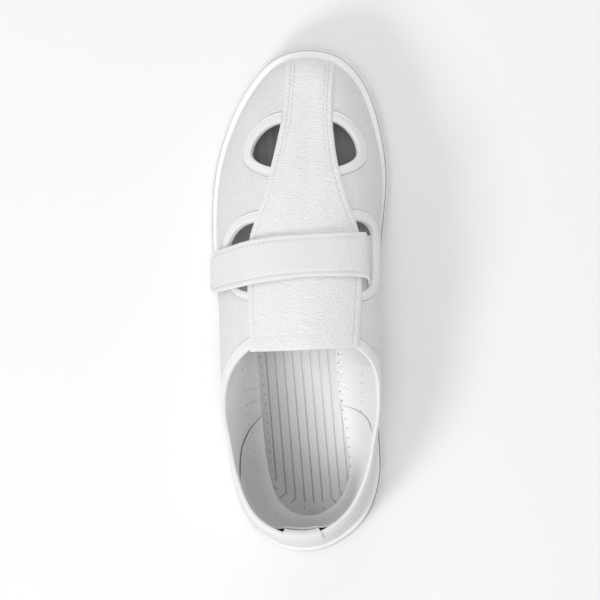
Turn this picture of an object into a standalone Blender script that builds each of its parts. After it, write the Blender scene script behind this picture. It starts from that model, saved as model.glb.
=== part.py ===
"""Slip-on cleanroom shoe for the left foot, standing on its sole with the toe towards +Y.

Lateral is -X and medial is +X. A place round the shoe is a turn in degrees: 0 at the heel tip,
180 at the toe tip, negative along the lateral side and positive along the medial side. A place
up the upper is a rise in degrees: 0 at the lip of the sole, 90 on the ridge line over the foot.
"""
from math import asin, cos, degrees, radians, sin, sqrt

import bmesh
import bpy
from mathutils import Vector

MM = 0.001

# Driving sizes
SOLE_LENGTH = 276 * MM
RIDGE_MID = 6 * MM
RIDGE_HALF = 106 * MM
WALL = 1.8 * MM
GAP = 0.3 * MM
SKIRT = -20.0

# Bottom of the sole
ARCH_RISE = 5 * MM
ARCH_REAR = (-64 * MM, -46 * MM)
ARCH_FRONT = (-30 * MM, -4 * MM)
TOE_SPRING = 8 * MM
TOE_SPRING_FROM = 68 * MM
HEEL_BEVEL = 1.5 * MM
HEEL_BEVEL_FROM = -122 * MM
TREAD_DEPTH = 2.2 * MM
TREAD_WIDTH = 3.2 * MM
TREAD_PITCH = 13 * MM
TREAD_HEEL = (-116 * MM, 4)
TREAD_FRONT = (8 * MM, 9)
INSOLE_THICK = 4 * MM

# Throat, strip and overlays
COLLAR_FRONT = (62.0, 80.0)
THROAT_POWERS = (2.0, 2.8)
STRIP_GAP = 0.4 * MM
STRIP_THICK = 1.5 * MM
STRIP_LOW_RISE = 3.0
FLAP_REAR = -26.5 * MM
EYE_BINDING_THICK = 0.9 * MM
STRAP_THICK = 1.6 * MM
STRAP_CORNER = 7 * MM
COUNTER_THICK = 0.8 * MM
FOOTBED_INSET = 15.6 * MM
BOWL_INSET = 7 * MM
BOWL_STANDOFF = 3 * MM
BOWL_RISE = 0.45
BOWL_TOP_DROP = 1.2
LINING_GAP = 0.5 * MM

# Sections of the last every 15 degrees of turn from heel tip to toe tip, in millimetres
SECTION_STEP = 15.0
SECTION_COLUMNS = (
    "centre", "half", "lip", "ridge", "lip_z", "floor_z", "ridge_z", "bulge_lateral", "bulge_medial", "collar_z")
SECTIONS = (
    (3.5, 0.0, 4.4, 3.4, 33.0, 20.0, 88.0, 1.0, 1.0, 70.0),
    (3.5, 17.9, 4.4, 3.4, 33.0, 20.0, 88.5, 2.5, 2.0, 69.0),
    (4.3, 33.1, 4.4, 3.9, 32.4, 19.8, 90.0, 5.0, 2.4, 66.0),
    (4.7, 40.4, 4.2, 4.4, 31.0, 19.2, 91.5, 8.0, 4.6, 62.5),
    (3.1, 41.5, 4.0, 5.4, 29.0, 18.0, 91.0, 11.0, 10.4, 59.5),
    (1.2, 41.6, 4.0, 6.4, 27.0, 15.8, 87.0, 11.0, 14.0, 58.5),
    (-1.1, 44.0, 4.0, 6.9, 25.0, 13.2, 80.0, 6.0, 12.5, 58.0),
    (-1.2, 47.5, 4.0, 6.9, 23.2, 11.4, 72.0, 1.5, 8.0, 58.0),
    (0.8, 48.0, 4.2, 6.9, 22.2, 10.6, 63.5, 0.5, 4.0, 58.0),
    (2.7, 41.9, 4.8, 6.9, 22.4, 11.2, 55.8, 1.0, 2.0, 58.0),
    (4.6, 32.0, 5.4, 6.9, 23.8, 13.0, 49.8, 1.5, 1.5, 58.0),
    (5.1, 18.7, 6.0, 6.9, 25.4, 14.8, 46.5, 1.5, 1.5, 58.0),
    (5.4, 0.0, 6.3, 6.9, 26.0, 15.5, 45.6, 1.5, 1.5, 58.0),
)

# Side of the sole: share of the height up to the lip, and millimetres out from the widest outline
SOLE_SIDE_COLUMNS = ("share", "out")
SOLE_SIDE = (
    (0.00, -2.6),
    (0.10, -0.7),
    (0.40, 0.0),
    (0.74, 0.0),
    (0.77, -1.4),
    (0.94, -1.3),
    (1.00, -2.0),
)

# Edges of the vamp strip in plan, in millimetres from toe to flap
STRIP_COLUMNS = ("y", "lateral", "medial")
STRIP_EDGES = (
    (142.0, -6.6, 20.4),
    (128.0, -6.2, 20.2),
    (100.0, -7.6, 19.6),
    (86.0, -9.8, 20.6),
    (71.0, -13.0, 23.0),
    (55.0, -16.8, 27.4),
    (41.0, -21.4, 32.4),
    (30.0, -24.0, 34.8),
    (6.0, -24.4, 35.6),
    (-26.5, -22.4, 34.0),
)

# Eyes in plan: front corner, widest reach and rear corner, in millimetres, and the corner power
EYE_COLUMNS = ("name", "root_x", "front_y", "reach_x", "reach_y", "rear_y", "power", "low_z", "band_low_z")
EYES = (
    ("front_lateral", -6.0, 95.4, -24.2, 78.6, 70.0, 1.85, 36.0, 34.0),
    ("front_medial", 17.5, 96.0, 33.2, 79.0, 70.4, 1.85, 36.0, 34.0),
    ("rear_lateral", -18.0, 41.8, -37.2, 21.5, 3.6, 2.3, 43.0, 38.0),
    ("rear_medial", 30.0, 42.2, 42.4, 22.0, 4.0, 3.2, 45.0, 51.0),
)
EYE_BAND = {"front_y": 5.4, "reach_x": 3.7, "rear_y": -4.2}

# Path of the instep strap across the foot: signed rise, where lateral is under 90 and medial is
# over 90, the gap under the strap and its rear and front turns
STRAP_COLUMNS = ("across", "out", "rear", "front")
STRAP_PATH = (
    (18.0, 2.8, 91.0, 100.2),
    (24.0, 2.4, 91.1, 100.5),
    (30.0, 2.0, 91.2, 100.9),
    (38.0, 1.8, 91.4, 101.4),
    (46.0, 1.9, 91.6, 102.0),
    (54.0, 2.4, 91.8, 102.7),
    (63.0, 2.4, 92.2, 103.5),
    (72.0, 2.4, 92.5, 104.2),
    (81.0, 2.4, 92.7, 104.8),
    (90.0, 2.4, 93.0, 105.1),
    (99.0, 2.4, 93.5, 105.2),
    (108.0, 2.4, 94.0, 105.1),
    (117.0, 2.4, 94.3, 105.0),
    (124.0, 2.3, 94.3, 104.8),
    (127.5, 1.2, 94.3, 104.7),
    (130.5, -1.0, 94.4, 104.4),
    (133.5, -3.5, 94.6, 104.1),
    (137.0, -4.0, 94.6, 104.0),
    (147.0, -4.0, 94.6, 103.8),
)

# Folded tape over an edge: millimetres down from the edge and out from the upper's outer face
COLLAR_TAPE = (
    (4.4, 0.55), (4.4, 1.3), (0.2, 1.3), (-0.9, 0.7), (-1.25, -0.9),
    (-0.9, -2.5), (0.2, -3.1), (4.4, -3.1), (4.4, -2.35), (-0.5, -2.35), (-0.5, 0.55))
COLLAR_TAPE_END = 77.5
HEEL_TAPE = (
    (9.0, 1.6), (9.0, 2.5), (0.0, 2.5), (-1.8, 1.5), (-2.5, -0.9),
    (-1.8, -3.3), (0.0, -4.3), (8.0, -4.3), (8.0, -3.4), (0.2, -3.4), (-1.25, -2.75), (-1.65, -0.9),
    (-1.25, 0.95), (0.2, 1.6))
HEEL_TAPE_ENDS = (-11.2, 13.0)

# Front and top edge of the heel counter: turn and share of the way from footbed to collar
COUNTER_EDGE_LATERAL = (
    (0.0, 0.86), (8.0, 0.86), (16.0, 0.86), (24.0, 0.86), (32.0, 0.86), (38.0, 0.84), (43.0, 0.76),
    (48.7, 0.62), (53.0, 0.53), (56.4, 0.45), (60.6, 0.24), (63.5, 0.0))
COUNTER_EDGE_MEDIAL = (
    (0.0, 0.86), (8.0, 0.86), (16.0, 0.86), (24.0, 0.86), (32.0, 0.86), (40.0, 0.86), (47.0, 0.85),
    (52.0, 0.83), (56.0, 0.78), (60.0, 0.68), (62.5, 0.55), (64.2, 0.34), (65.3, 0.0))

# Colour and roughness of each sub-part
FINISHES = {
    "outsole": ((0.86, 0.86, 0.87), 0.55),
    "upper": ((0.82, 0.82, 0.84), 0.5),
    "vamp_strip": ((0.83, 0.83, 0.85), 0.5),
    "instep_strap": ((0.8, 0.8, 0.82), 0.7),
    "binding": ((0.85, 0.85, 0.86), 0.55),
    "heel_tab": ((0.85, 0.85, 0.86), 0.7),
    "heel_counter": ((0.45, 0.45, 0.46), 0.8),
    "insole": ((0.55, 0.55, 0.55), 0.75),
}

REAR_TURNS = (0, 5, 10, 16, 23, 30, 38, 46, 54, 62)
THROAT_STEPS = 8
FRONT_TURNS = (84, 88, 92, 96, 100, 104, 108, 113, 118, 124, 130, 136, 142, 148, 154, 160, 165, 170, 175, 180)
RISE_STEPS = 10
EYE_STEPS = 7
STRAP_COLUMNS_WIDE = 4
COUNTER_STEPS = 6


def clear_scene():
    """Start from an empty scene."""
    for item in list(bpy.data.objects):
        bpy.data.objects.remove(item, do_unlink=True)


def collection(name):
    """A new collection linked to the scene."""
    made = bpy.data.collections.new(name)
    bpy.context.scene.collection.children.link(made)
    return made


def material(name):
    """A Principled material in the sub-part's own colour."""
    colour, rough = FINISHES[name]
    made = bpy.data.materials.new(name)
    made.use_nodes = True
    shader = made.node_tree.nodes["Principled BSDF"]
    shader.inputs["Base Color"].default_value = (*colour, 1.0)
    shader.inputs["Roughness"].default_value = rough
    shader.inputs["Metallic"].default_value = 0.0
    return made


def through(values, place, odd=False):
    """A smooth curve through equally spaced values, mirrored past both ends."""
    sign = -1 if odd else 1
    padded = [sign * values[1]] + list(values) + [sign * values[-2]]
    place = min(max(place, 0.0), len(values) - 1 - 1e-9)
    k = int(place)
    u = place - k
    a, b, c, d = padded[k:k + 4]
    return b + 0.5 * u * (c - a + u * (2 * a - 5 * b + 4 * c - d + u * (3 * (b - c) + d - a)))


LAST = {name: [row[i] * MM for row in SECTIONS] for i, name in enumerate(SECTION_COLUMNS)}


def last(name, turn):
    """One size of the last at a turn."""
    return through(LAST[name], abs(turn) / SECTION_STEP, odd=name == "half")


def wrapped(turn):
    """The same turn, between -180 and 180."""
    return (turn + 180.0) % 360.0 - 180.0 if abs(turn) > 180.0 else turn


def outline(turn):
    """Plan point on the sole's widest edge."""
    turn = wrapped(turn)
    side = -1 if turn < 0 else 1
    x = last("centre", turn) + side * last("half", turn)
    return Vector((x, -SOLE_LENGTH / 2 * cos(radians(turn))))


def plan(turn, out):
    """Plan point a distance out from the sole's widest edge."""
    run = outline(turn + 0.25) - outline(turn - 0.25)
    return outline(turn) + Vector((run.y, -run.x)).normalized() * out


def ridge(turn):
    """Plan point on the ridge line over the foot."""
    return Vector((last("ridge", turn), RIDGE_MID - RIDGE_HALF * cos(radians(turn))))


def surface(turn, rise):
    """Point on the upper's outer face; a rise past 90 goes down the other side."""
    if rise > 90.0:
        turn, rise = -turn, 180.0 - rise
    turn = wrapped(turn)
    foot = plan(turn, -last("lip", turn))
    low = last("lip_z", turn)
    if rise < 0.0:
        floor = last("floor_z", turn) + GAP
        return Vector((foot.x, foot.y, low + (low - floor) * rise / abs(SKIRT)))
    top = ridge(turn)
    reach = foot - top
    bulge = last("bulge_lateral" if turn < 0 else "bulge_medial", turn)
    share = cos(radians(rise)) + bulge / reach.length * sin(2 * radians(rise))
    flat = top + reach * share
    return Vector((flat.x, flat.y, low + (last("ridge_z", turn) - low) * sin(radians(rise))))


def outward(turn, rise):
    """Unit normal of the upper's outer face."""
    if rise > 88.0 and rise < 92.0:
        return (outward(turn, 88.0) + outward(-turn, 88.0)).normalized()
    if rise >= 92.0:
        return outward(-turn, 180.0 - rise)
    along = surface(turn + 0.4, rise) - surface(turn - 0.4, rise)
    up = surface(turn, rise + 0.4) - surface(turn, rise - 0.4)
    return along.cross(up).normalized()


def raised(turn, rise, out):
    """Point a distance out from the upper's outer face."""
    return surface(turn, rise) + outward(turn, rise) * out


def collar_rise(turn):
    """Rise of the collar's edge, up to the ridge line at the throat."""
    low = last("lip_z", turn)
    side = degrees(asin((last("collar_z", turn) - low) / (last("ridge_z", min(abs(turn), 75.0)) - low)))
    start, end = COLLAR_FRONT
    if abs(turn) >= end:
        return 90.0
    along = max(abs(turn) - start, 0.0) / (end - start)
    lateral, medial = THROAT_POWERS
    power = medial if turn > 0 else lateral
    return side + (90.0 - side) * (1.0 - (1.0 - along ** power) ** (1.0 / power))


def side_turns(low, high):
    """Columns of one side from heel to toe."""
    start, end = COLLAR_FRONT
    throat = [start + (end - start) * sin(radians(90.0 * k / THROAT_STEPS)) for k in range(1, THROAT_STEPS + 1)]
    return [turn for turn in (*REAR_TURNS, *throat, *FRONT_TURNS) if low <= turn <= high]


def turns():
    """Columns from toe tip along the lateral side, round the heel and back to the toe tip."""
    medial = side_turns(0.0, 180.0)
    return [-turn for turn in reversed(medial)] + medial[1:]


def smoothstep(low, high, value):
    """0 up to low, 1 from high, smooth between."""
    u = min(max((value - low) / (high - low), 0.0), 1.0)
    return u * u * (3.0 - 2.0 * u)


def bottom_z(y):
    """Height of the sole's underside: heel bevel, arch and toe spring."""
    arch = smoothstep(*ARCH_REAR, y) * (1.0 - smoothstep(*ARCH_FRONT, y))
    spring = max(y - TOE_SPRING_FROM, 0.0) / (SOLE_LENGTH / 2 - TOE_SPRING_FROM)
    heel = max(HEEL_BEVEL_FROM - y, 0.0) / (SOLE_LENGTH / 2 + HEEL_BEVEL_FROM)
    return ARCH_RISE * arch + TOE_SPRING * spring ** 1.6 + HEEL_BEVEL * heel


def draped(name, columns, rows, place, group, finish, closed=False):
    """A grid moved onto place(column, row), welded where its edges meet."""
    mesh = bpy.data.meshes.new(name)
    form = bmesh.new()
    wide, tall = len(columns) - 1, len(rows) - 1
    bmesh.ops.create_grid(form, x_segments=wide, y_segments=tall, size=0.5)
    for vertex in form.verts:
        i = round((vertex.co.x + 0.5) * wide)
        j = round((vertex.co.y + 0.5) * tall)
        vertex.co = place(columns[i], rows[j])
    bmesh.ops.remove_doubles(form, verts=form.verts, dist=0.00002)
    if closed:
        bmesh.ops.holes_fill(form, edges=[edge for edge in form.edges if edge.is_boundary])
        bmesh.ops.recalc_face_normals(form, faces=form.faces)
    form.to_mesh(mesh)
    form.free()
    mesh.shade_smooth()
    mesh.set_sharp_from_angle(angle=radians(35))
    mesh.materials.append(finish)
    made = bpy.data.objects.new(name, mesh)
    group.objects.link(made)
    return made


def prism(name, points, low, high, group):
    """A flat outline drawn up into a cutter."""
    mesh = bpy.data.meshes.new(name)
    form = bmesh.new()
    face = form.faces.new([form.verts.new((x, y, low)) for x, y in points])
    if face.calc_area() and face.normal.z > 0:
        face.normal_flip()
    grown = bmesh.ops.extrude_face_region(form, geom=[face])
    lifted = [item for item in grown["geom"] if isinstance(item, bmesh.types.BMVert)]
    bmesh.ops.translate(form, verts=lifted, vec=(0, 0, high - low))
    bmesh.ops.recalc_face_normals(form, faces=form.faces)
    form.to_mesh(mesh)
    form.free()
    return cutter(bpy.data.objects.new(name, mesh), group)


def cutter(made, group):
    """Mark an object as a cutter."""
    made.hide_render = True
    made.display_type = 'WIRE'
    group.objects.link(made)
    return made


def thicken(made, depth, out):
    """Give an open surface its wall, outwards or inwards."""
    wall = made.modifiers.new("wall", 'SOLIDIFY')
    wall.thickness = depth
    wall.offset = 1.0 if out else -1.0
    wall.use_even_offset = True


def trim(made, tool, operation):
    """Cut one object with another."""
    cut = made.modifiers.new(tool.name, 'BOOLEAN')
    cut.operation = operation
    cut.solver = 'EXACT'
    cut.object = tool


def outsole(group, tools, finish):
    """Cup sole: underside, stepped side, lip and the recess that holds the upper."""
    def edge(turn, out, z):
        flat = plan(turn, out)
        return Vector((flat.x, flat.y, z))

    def under(turn):
        flat = plan(turn, SOLE_SIDE[0][1] * MM)
        return Vector((flat.x, flat.y, bottom_z(flat.y)))

    def recess(turn, z):
        return edge(turn, GAP - last("lip", turn), z)

    def place(turn, row):
        if row == "under centre":
            return (under(turn) + under(-turn)) / 2
        if row == "under middle":
            return under(turn).lerp((under(turn) + under(-turn)) / 2, 0.4)
        if row == "rim":
            return recess(turn, last("lip_z", turn))
        if row == "floor edge":
            return recess(turn, last("floor_z", turn))
        if row == "floor centre":
            return (recess(turn, last("floor_z", turn)) + recess(-turn, last("floor_z", turn))) / 2
        share, out = row
        foot = bottom_z(outline(turn).y) if share else bottom_z(plan(turn, out * MM).y)
        return edge(turn, out * MM, foot + share * (last("lip_z", turn) - foot))

    rows = ("under centre", "under middle", *SOLE_SIDE, "rim", "floor edge", "floor centre")
    made = draped("outsole", turns(), rows, place, group, finish, closed=True)
    start, count = TREAD_HEEL
    places = [start + k * TREAD_PITCH for k in range(count)]
    start, count = TREAD_FRONT
    places += [start + k * TREAD_PITCH for k in range(count)]
    for k, y in enumerate(places):
        corners = [(sx * 70 * MM, y + sy * TREAD_WIDTH / 2) for sx, sy in ((-1, -1), (1, -1), (1, 1), (-1, 1))]
        bar = prism(f"tread_{k}", corners, -4 * MM, bottom_z(y) + TREAD_DEPTH, tools)
        trim(made, bar, 'DIFFERENCE')
    return made


def insole(group, finish):
    """Footbed on the floor of the sole, inside the upper's wall."""
    def edge(turn, lift):
        flat = plan(turn, -last("lip", turn) - WALL - GAP)
        return Vector((flat.x, flat.y, last("floor_z", turn) + GAP + lift))

    def place(turn, row):
        lift, whole = row
        return edge(turn, lift) if whole else (edge(turn, lift) + edge(-turn, lift)) / 2

    rows = ((0.0, False), (0.0, True), (INSOLE_THICK, True), (INSOLE_THICK, False))
    return draped("insole", turns(), rows, place, group, finish, closed=True)


def upper(group, finish, eyes):
    """Hollow wall over the last, open below, at the collar and at the eyes."""
    def place(turn, share):
        return surface(turn, SKIRT if share < 0 else share * collar_rise(turn))

    rows = (-1, *(k / RISE_STEPS for k in range(RISE_STEPS + 1)))
    made = draped("upper", turns(), rows, place, group, finish)
    thicken(made, WALL, out=False)
    for eye in eyes:
        trim(made, eye, 'DIFFERENCE')
    return made


def strip_plan(grow):
    """Plan outline of the strip and its flap, grown all round."""
    lateral = [(row[1] * MM - grow, row[0] * MM) for row in STRIP_EDGES]
    medial = [(row[2] * MM + grow, row[0] * MM) for row in STRIP_EDGES]
    lateral[-1] = (lateral[-1][0], FLAP_REAR - grow)
    medial[-1] = (medial[-1][0], FLAP_REAR - grow)
    return lateral + medial[::-1]


def second_skin(name, low, base, thick, group, finish):
    """A skin over the front of the upper, from side to side, to be cut to its outline."""
    def place(turn, across):
        return raised(-turn, across, base)

    climb = [STRIP_LOW_RISE, *(90.0 * k / RISE_STEPS for k in range(1, RISE_STEPS + 1))]
    across = climb + [180.0 - rise for rise in reversed(climb[:-1])]
    made = draped(name, side_turns(low, 180.0)[::-1], across, place, group, finish)
    thicken(made, thick, out=True)
    return made


def vamp_strip(group, tools, finish):
    """Centre strip from toe to throat, ending as the tongue flap."""
    made = second_skin("vamp_strip", 66.0, STRIP_GAP, STRIP_THICK, group, finish)
    trim(made, prism("strip_outline", strip_plan(0.0), 20 * MM, 120 * MM, tools), 'INTERSECT')
    return made


def eye_plan(eye, band):
    """Plan outline of an eye, rounded from its front corner over its reach to its rear corner."""
    side = 1 if eye["reach_x"] > eye["root_x"] else -1
    grow = EYE_BAND if band else dict.fromkeys(EYE_BAND, 0.0)
    reach = eye["reach_x"] + side * grow["reach_x"] - eye["root_x"]
    points = []
    for k in range(2 * EYE_STEPS + 1):
        angle = radians(90.0 * k / EYE_STEPS)
        end = "front_y" if k <= EYE_STEPS else "rear_y"
        x = eye["root_x"] + reach * sin(angle) ** (2 / eye["power"])
        y = eye["reach_y"] + (eye[end] + grow[end] - eye["reach_y"]) * abs(cos(angle)) ** (2 / eye["power"])
        points.append((x * MM, y * MM))
    return points


def eye_cutters(tools):
    """One cutter through the upper for each eye."""
    made = []
    for row in EYES:
        eye = dict(zip(EYE_COLUMNS, row))
        made.append(prism("eye_" + eye["name"], eye_plan(eye, False), eye["low_z"] * MM, 120 * MM, tools))
    return made


def eye_bindings(group, tools, finish, eyes):
    """Tape round each eye, its ends running up to the strip."""
    clear = prism("strip_clearance", strip_plan(GAP), 20 * MM, 120 * MM, tools)
    for row, hole in zip(EYES, eyes):
        eye = dict(zip(EYE_COLUMNS, row))
        made = second_skin("eye_binding_" + eye["name"], 83.0, GAP, EYE_BINDING_THICK, group, finish)
        low = eye["band_low_z"] * MM
        band = prism("band_" + eye["name"], eye_plan(eye, True), low, 120 * MM, tools)
        trim(made, band, 'INTERSECT')
        trim(made, hole, 'DIFFERENCE')
        trim(made, clear, 'DIFFERENCE')


def strap_row(across):
    """Gap, rear turn and front turn of the strap at a place across the foot."""
    for near, far in zip(STRAP_PATH, STRAP_PATH[1:]):
        if across <= far[0]:
            u = (across - near[0]) / (far[0] - near[0])
            return [near[i] + (far[i] - near[i]) * u for i in (1, 2, 3)]
    return STRAP_PATH[-1][1:]


def instep_strap(group, finish):
    """Elastic strap from its rounded tab over the instep and down through the medial rear eye."""
    first = STRAP_PATH[0][0]
    tip = surface(-96.0, first)

    def place(share, across):
        out, rear, front = strap_row(across)
        length = (surface(-rear, across) - surface(-front, across)).length
        left = max(STRAP_CORNER - (surface(-96.0, across) - tip).length, 0.0) if across < 40.0 else 0.0
        inset = (STRAP_CORNER - sqrt(STRAP_CORNER ** 2 - left ** 2)) / length
        share = inset + (1.0 - 2.0 * inset) * share
        return raised(-front + (front - rear) * share, across, out * MM)

    shares = [k / STRAP_COLUMNS_WIDE for k in range(STRAP_COLUMNS_WIDE + 1)]
    across = [first, first + 0.8, first + 2.2, first + 4.5] + [row[0] for row in STRAP_PATH[1:]]
    made = draped("instep_strap", shares, across, place, group, finish)
    thicken(made, STRAP_THICK, out=True)
    return made


def tape(name, columns, section, group, finish):
    """Tape folded over the collar's edge, in the section given."""
    def place(turn, corner):
        down, out = corner
        rise = collar_rise(turn)
        along = (surface(turn + 0.2, rise) - surface(turn - 0.2, rise)) / 0.4
        up = (surface(turn, rise + 0.2) - surface(turn, rise - 0.2)) / 0.4
        run = along + up * ((collar_rise(turn + 0.2) - collar_rise(turn - 0.2)) / 0.4)
        inward = run.cross(outward(turn, rise)).normalized()
        size = along.dot(along) * up.dot(up) - along.dot(up) ** 2
        a = (inward.dot(along) * up.dot(up) - inward.dot(up) * along.dot(up)) / size
        b = (inward.dot(up) * along.dot(along) - inward.dot(along) * along.dot(up)) / size
        return raised(turn + a * down * MM, rise + b * down * MM, out * MM)

    return draped(name, columns, (*section, section[0]), place, group, finish, closed=True)


def collar_binding(group, finish):
    """Folded tape round the collar from one side of the flap to the other."""
    medial = side_turns(0.0, COLLAR_TAPE_END)
    columns = [-turn for turn in reversed(medial)] + medial[1:]
    return tape("collar_binding", columns, COLLAR_TAPE, group, finish)


def heel_tab(group, finish):
    """Pull tab folded over the collar at the heel."""
    start, end = HEEL_TAPE_ENDS
    columns = [start + (end - start) * k / 8 for k in range(9)]
    return tape("heel_tab", columns, HEEL_TAPE, group, finish)


def lining(turn, share):
    """Point on the bowl of the lining, from the footbed's edge at share 0 up to the collar at share 1."""
    top = collar_rise(turn)
    low_z = last("floor_z", turn) + GAP + INSOLE_THICK + LINING_GAP
    near = plan(turn, -last("lip", turn) - FOOTBED_INSET)
    far = plan(turn, -last("lip", turn) - BOWL_INSET)
    bowl = (
        Vector((near.x, near.y, low_z)),
        Vector((far.x, far.y, low_z + LINING_GAP)),
        raised(turn, top * BOWL_RISE, -WALL - BOWL_STANDOFF),
        raised(turn, top - BOWL_TOP_DROP, -WALL - LINING_GAP))
    weights = ((1 - share) ** 3, 3 * (1 - share) ** 2 * share, 3 * (1 - share) * share ** 2, share ** 3)
    return sum((point * weight for point, weight in zip(bowl, weights)), Vector((0.0, 0.0, 0.0)))


def heel_counter(group, finish):
    """Lining patch that cups the heel, from the footbed's edge up towards the collar."""
    edge = [(-turn, top) for turn, top in reversed(COUNTER_EDGE_LATERAL)] + list(COUNTER_EDGE_MEDIAL[1:])

    def place(column, share):
        turn, top = column
        return lining(turn, top * share)

    made = draped("heel_counter", edge, [k / COUNTER_STEPS for k in range(COUNTER_STEPS + 1)], place, group, finish)
    thicken(made, COUNTER_THICK, out=False)
    return made


def main():
    """Build every sub-part."""
    clear_scene()
    parts = collection("cleanroom_shoe")
    tools = collection("cutters")
    finish = {name: material(name) for name in FINISHES}
    eyes = eye_cutters(tools)
    outsole(parts, tools, finish["outsole"])
    insole(parts, finish["insole"])
    upper(parts, finish["upper"], eyes)
    vamp_strip(parts, tools, finish["vamp_strip"])
    eye_bindings(parts, tools, finish["binding"], eyes)
    instep_strap(parts, finish["instep_strap"])
    collar_binding(parts, finish["binding"])
    heel_tab(parts, finish["heel_tab"])
    heel_counter(parts, finish["heel_counter"])


main()
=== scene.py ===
from math import pi, radians

import bpy
import numpy as np
from mathutils import Matrix, Vector


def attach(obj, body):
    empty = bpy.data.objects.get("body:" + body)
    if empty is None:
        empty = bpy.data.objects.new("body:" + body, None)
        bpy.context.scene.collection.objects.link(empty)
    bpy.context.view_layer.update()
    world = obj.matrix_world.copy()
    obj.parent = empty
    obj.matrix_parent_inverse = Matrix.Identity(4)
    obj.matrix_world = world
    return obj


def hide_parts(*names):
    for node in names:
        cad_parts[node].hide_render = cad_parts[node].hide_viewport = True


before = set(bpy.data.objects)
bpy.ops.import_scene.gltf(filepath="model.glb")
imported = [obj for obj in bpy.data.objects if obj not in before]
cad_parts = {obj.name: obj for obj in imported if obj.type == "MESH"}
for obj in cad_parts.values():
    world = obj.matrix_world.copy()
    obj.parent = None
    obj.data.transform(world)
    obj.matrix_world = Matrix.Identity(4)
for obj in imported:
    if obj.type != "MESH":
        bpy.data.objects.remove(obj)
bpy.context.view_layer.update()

MM = 0.001

# Sizes of the shoe, as in the solids
SOLE_LENGTH = 276 * MM
RIDGE_MID = 6 * MM
RIDGE_HALF = 106 * MM
WALL = 1.8 * MM
GAP = 0.3 * MM
SKIRT = -20.0
COLLAR_FRONT = (62.0, 80.0)
THROAT_POWERS = (2.0, 2.8)
INSOLE_THICK = 4 * MM
FLAP_REAR = -26.5 * MM
SECTION_STEP = 15.0
SECTION_COLUMNS = (
    "centre", "half", "lip", "ridge", "lip_z", "floor_z", "ridge_z",
    "bulge_lateral", "bulge_medial", "collar_z")
SECTIONS = (
    (3.5, 0.0, 4.4, 3.4, 33.0, 20.0, 88.0, 1.0, 1.0, 70.0),
    (3.5, 17.9, 4.4, 3.4, 33.0, 20.0, 88.5, 2.5, 2.0, 69.0),
    (4.3, 33.1, 4.4, 3.9, 32.4, 19.8, 90.0, 5.0, 2.4, 66.0),
    (4.7, 40.4, 4.2, 4.4, 31.0, 19.2, 91.5, 8.0, 4.6, 62.5),
    (3.1, 41.5, 4.0, 5.4, 29.0, 18.0, 91.0, 11.0, 10.4, 59.5),
    (1.2, 41.6, 4.0, 6.4, 27.0, 15.8, 87.0, 11.0, 14.0, 58.5),
    (-1.1, 44.0, 4.0, 6.9, 25.0, 13.2, 80.0, 6.0, 12.5, 58.0),
    (-1.2, 47.5, 4.0, 6.9, 23.2, 11.4, 72.0, 1.5, 8.0, 58.0),
    (0.8, 48.0, 4.2, 6.9, 22.2, 10.6, 63.5, 0.5, 4.0, 58.0),
    (2.7, 41.9, 4.8, 6.9, 22.4, 11.2, 55.8, 1.0, 2.0, 58.0),
    (4.6, 32.0, 5.4, 6.9, 23.8, 13.0, 49.8, 1.5, 1.5, 58.0),
    (5.1, 18.7, 6.0, 6.9, 25.4, 14.8, 46.5, 1.5, 1.5, 58.0),
    (5.4, 0.0, 6.3, 6.9, 26.0, 15.5, 45.6, 1.5, 1.5, 58.0),
)
# Vamp strip in millimetres: place along the shoe, lateral edge and medial edge
STRIP_EDGES = (
    (142.0, -6.6, 20.4),
    (128.0, -6.2, 20.2),
    (100.0, -7.6, 19.6),
    (86.0, -9.8, 20.6),
    (71.0, -13.0, 23.0),
    (55.0, -16.8, 27.4),
    (41.0, -21.4, 32.4),
    (30.0, -24.0, 34.8),
    (6.0, -24.4, 35.6),
    (-26.5, -22.4, 34.0),
)
# Eyes in plan, in millimetres: root, corners and reach of each, roundness, and how low its opening is cut
EYE_COLUMNS = ("name", "root_x", "front_y", "reach_x", "reach_y", "rear_y", "power", "low_z")
EYES = [dict(zip(EYE_COLUMNS, row)) for row in (
    ("front_lateral", -6.0, 95.4, -24.2, 78.6, 70.0, 1.85, 36.0),
    ("front_medial", 17.5, 96.0, 33.2, 79.0, 70.4, 1.85, 36.0),
    ("rear_lateral", -18.0, 41.8, -37.2, 21.5, 3.6, 2.3, 43.0),
    ("rear_medial", 30.0, 42.2, 42.4, 22.0, 4.0, 3.2, 45.0),
)]
# Strap: place across the foot, gap under it in millimetres, and its rear and front turns
STRAP_PATH = (
    (18.0, 2.8, 91.0, 100.2),
    (24.0, 2.4, 91.1, 100.5),
    (30.0, 2.0, 91.2, 100.9),
    (38.0, 1.8, 91.4, 101.4),
    (46.0, 1.9, 91.6, 102.0),
    (54.0, 2.4, 91.8, 102.7),
    (63.0, 2.4, 92.2, 103.5),
    (72.0, 2.4, 92.5, 104.2),
    (81.0, 2.4, 92.7, 104.8),
    (90.0, 2.4, 93.0, 105.1),
    (99.0, 2.4, 93.5, 105.2),
    (108.0, 2.4, 94.0, 105.1),
    (117.0, 2.4, 94.3, 105.0),
    (124.0, 2.3, 94.3, 104.9),
    (127.5, 1.2, 94.0, 104.9),
    (130.5, -1.0, 93.3, 104.8),
    (133.5, -3.5, 92.5, 104.7),
    (137.0, -4.0, 92.2, 104.6),
    (147.0, -4.0, 92.2, 104.4),
)
ARCH_RISE = 5 * MM
ARCH_REAR = (-64 * MM, -46 * MM)
ARCH_FRONT = (-30 * MM, -4 * MM)
TOE_SPRING = 8 * MM
TOE_SPRING_FROM = 68 * MM
HEEL_BEVEL = 1.5 * MM
HEEL_BEVEL_FROM = -122 * MM
TREAD_DEPTH = 2.2 * MM
TREAD_WIDTH = 3.2 * MM
TREAD_PITCH = 13 * MM
TREAD_HEEL = (-116 * MM, 4)
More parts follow.
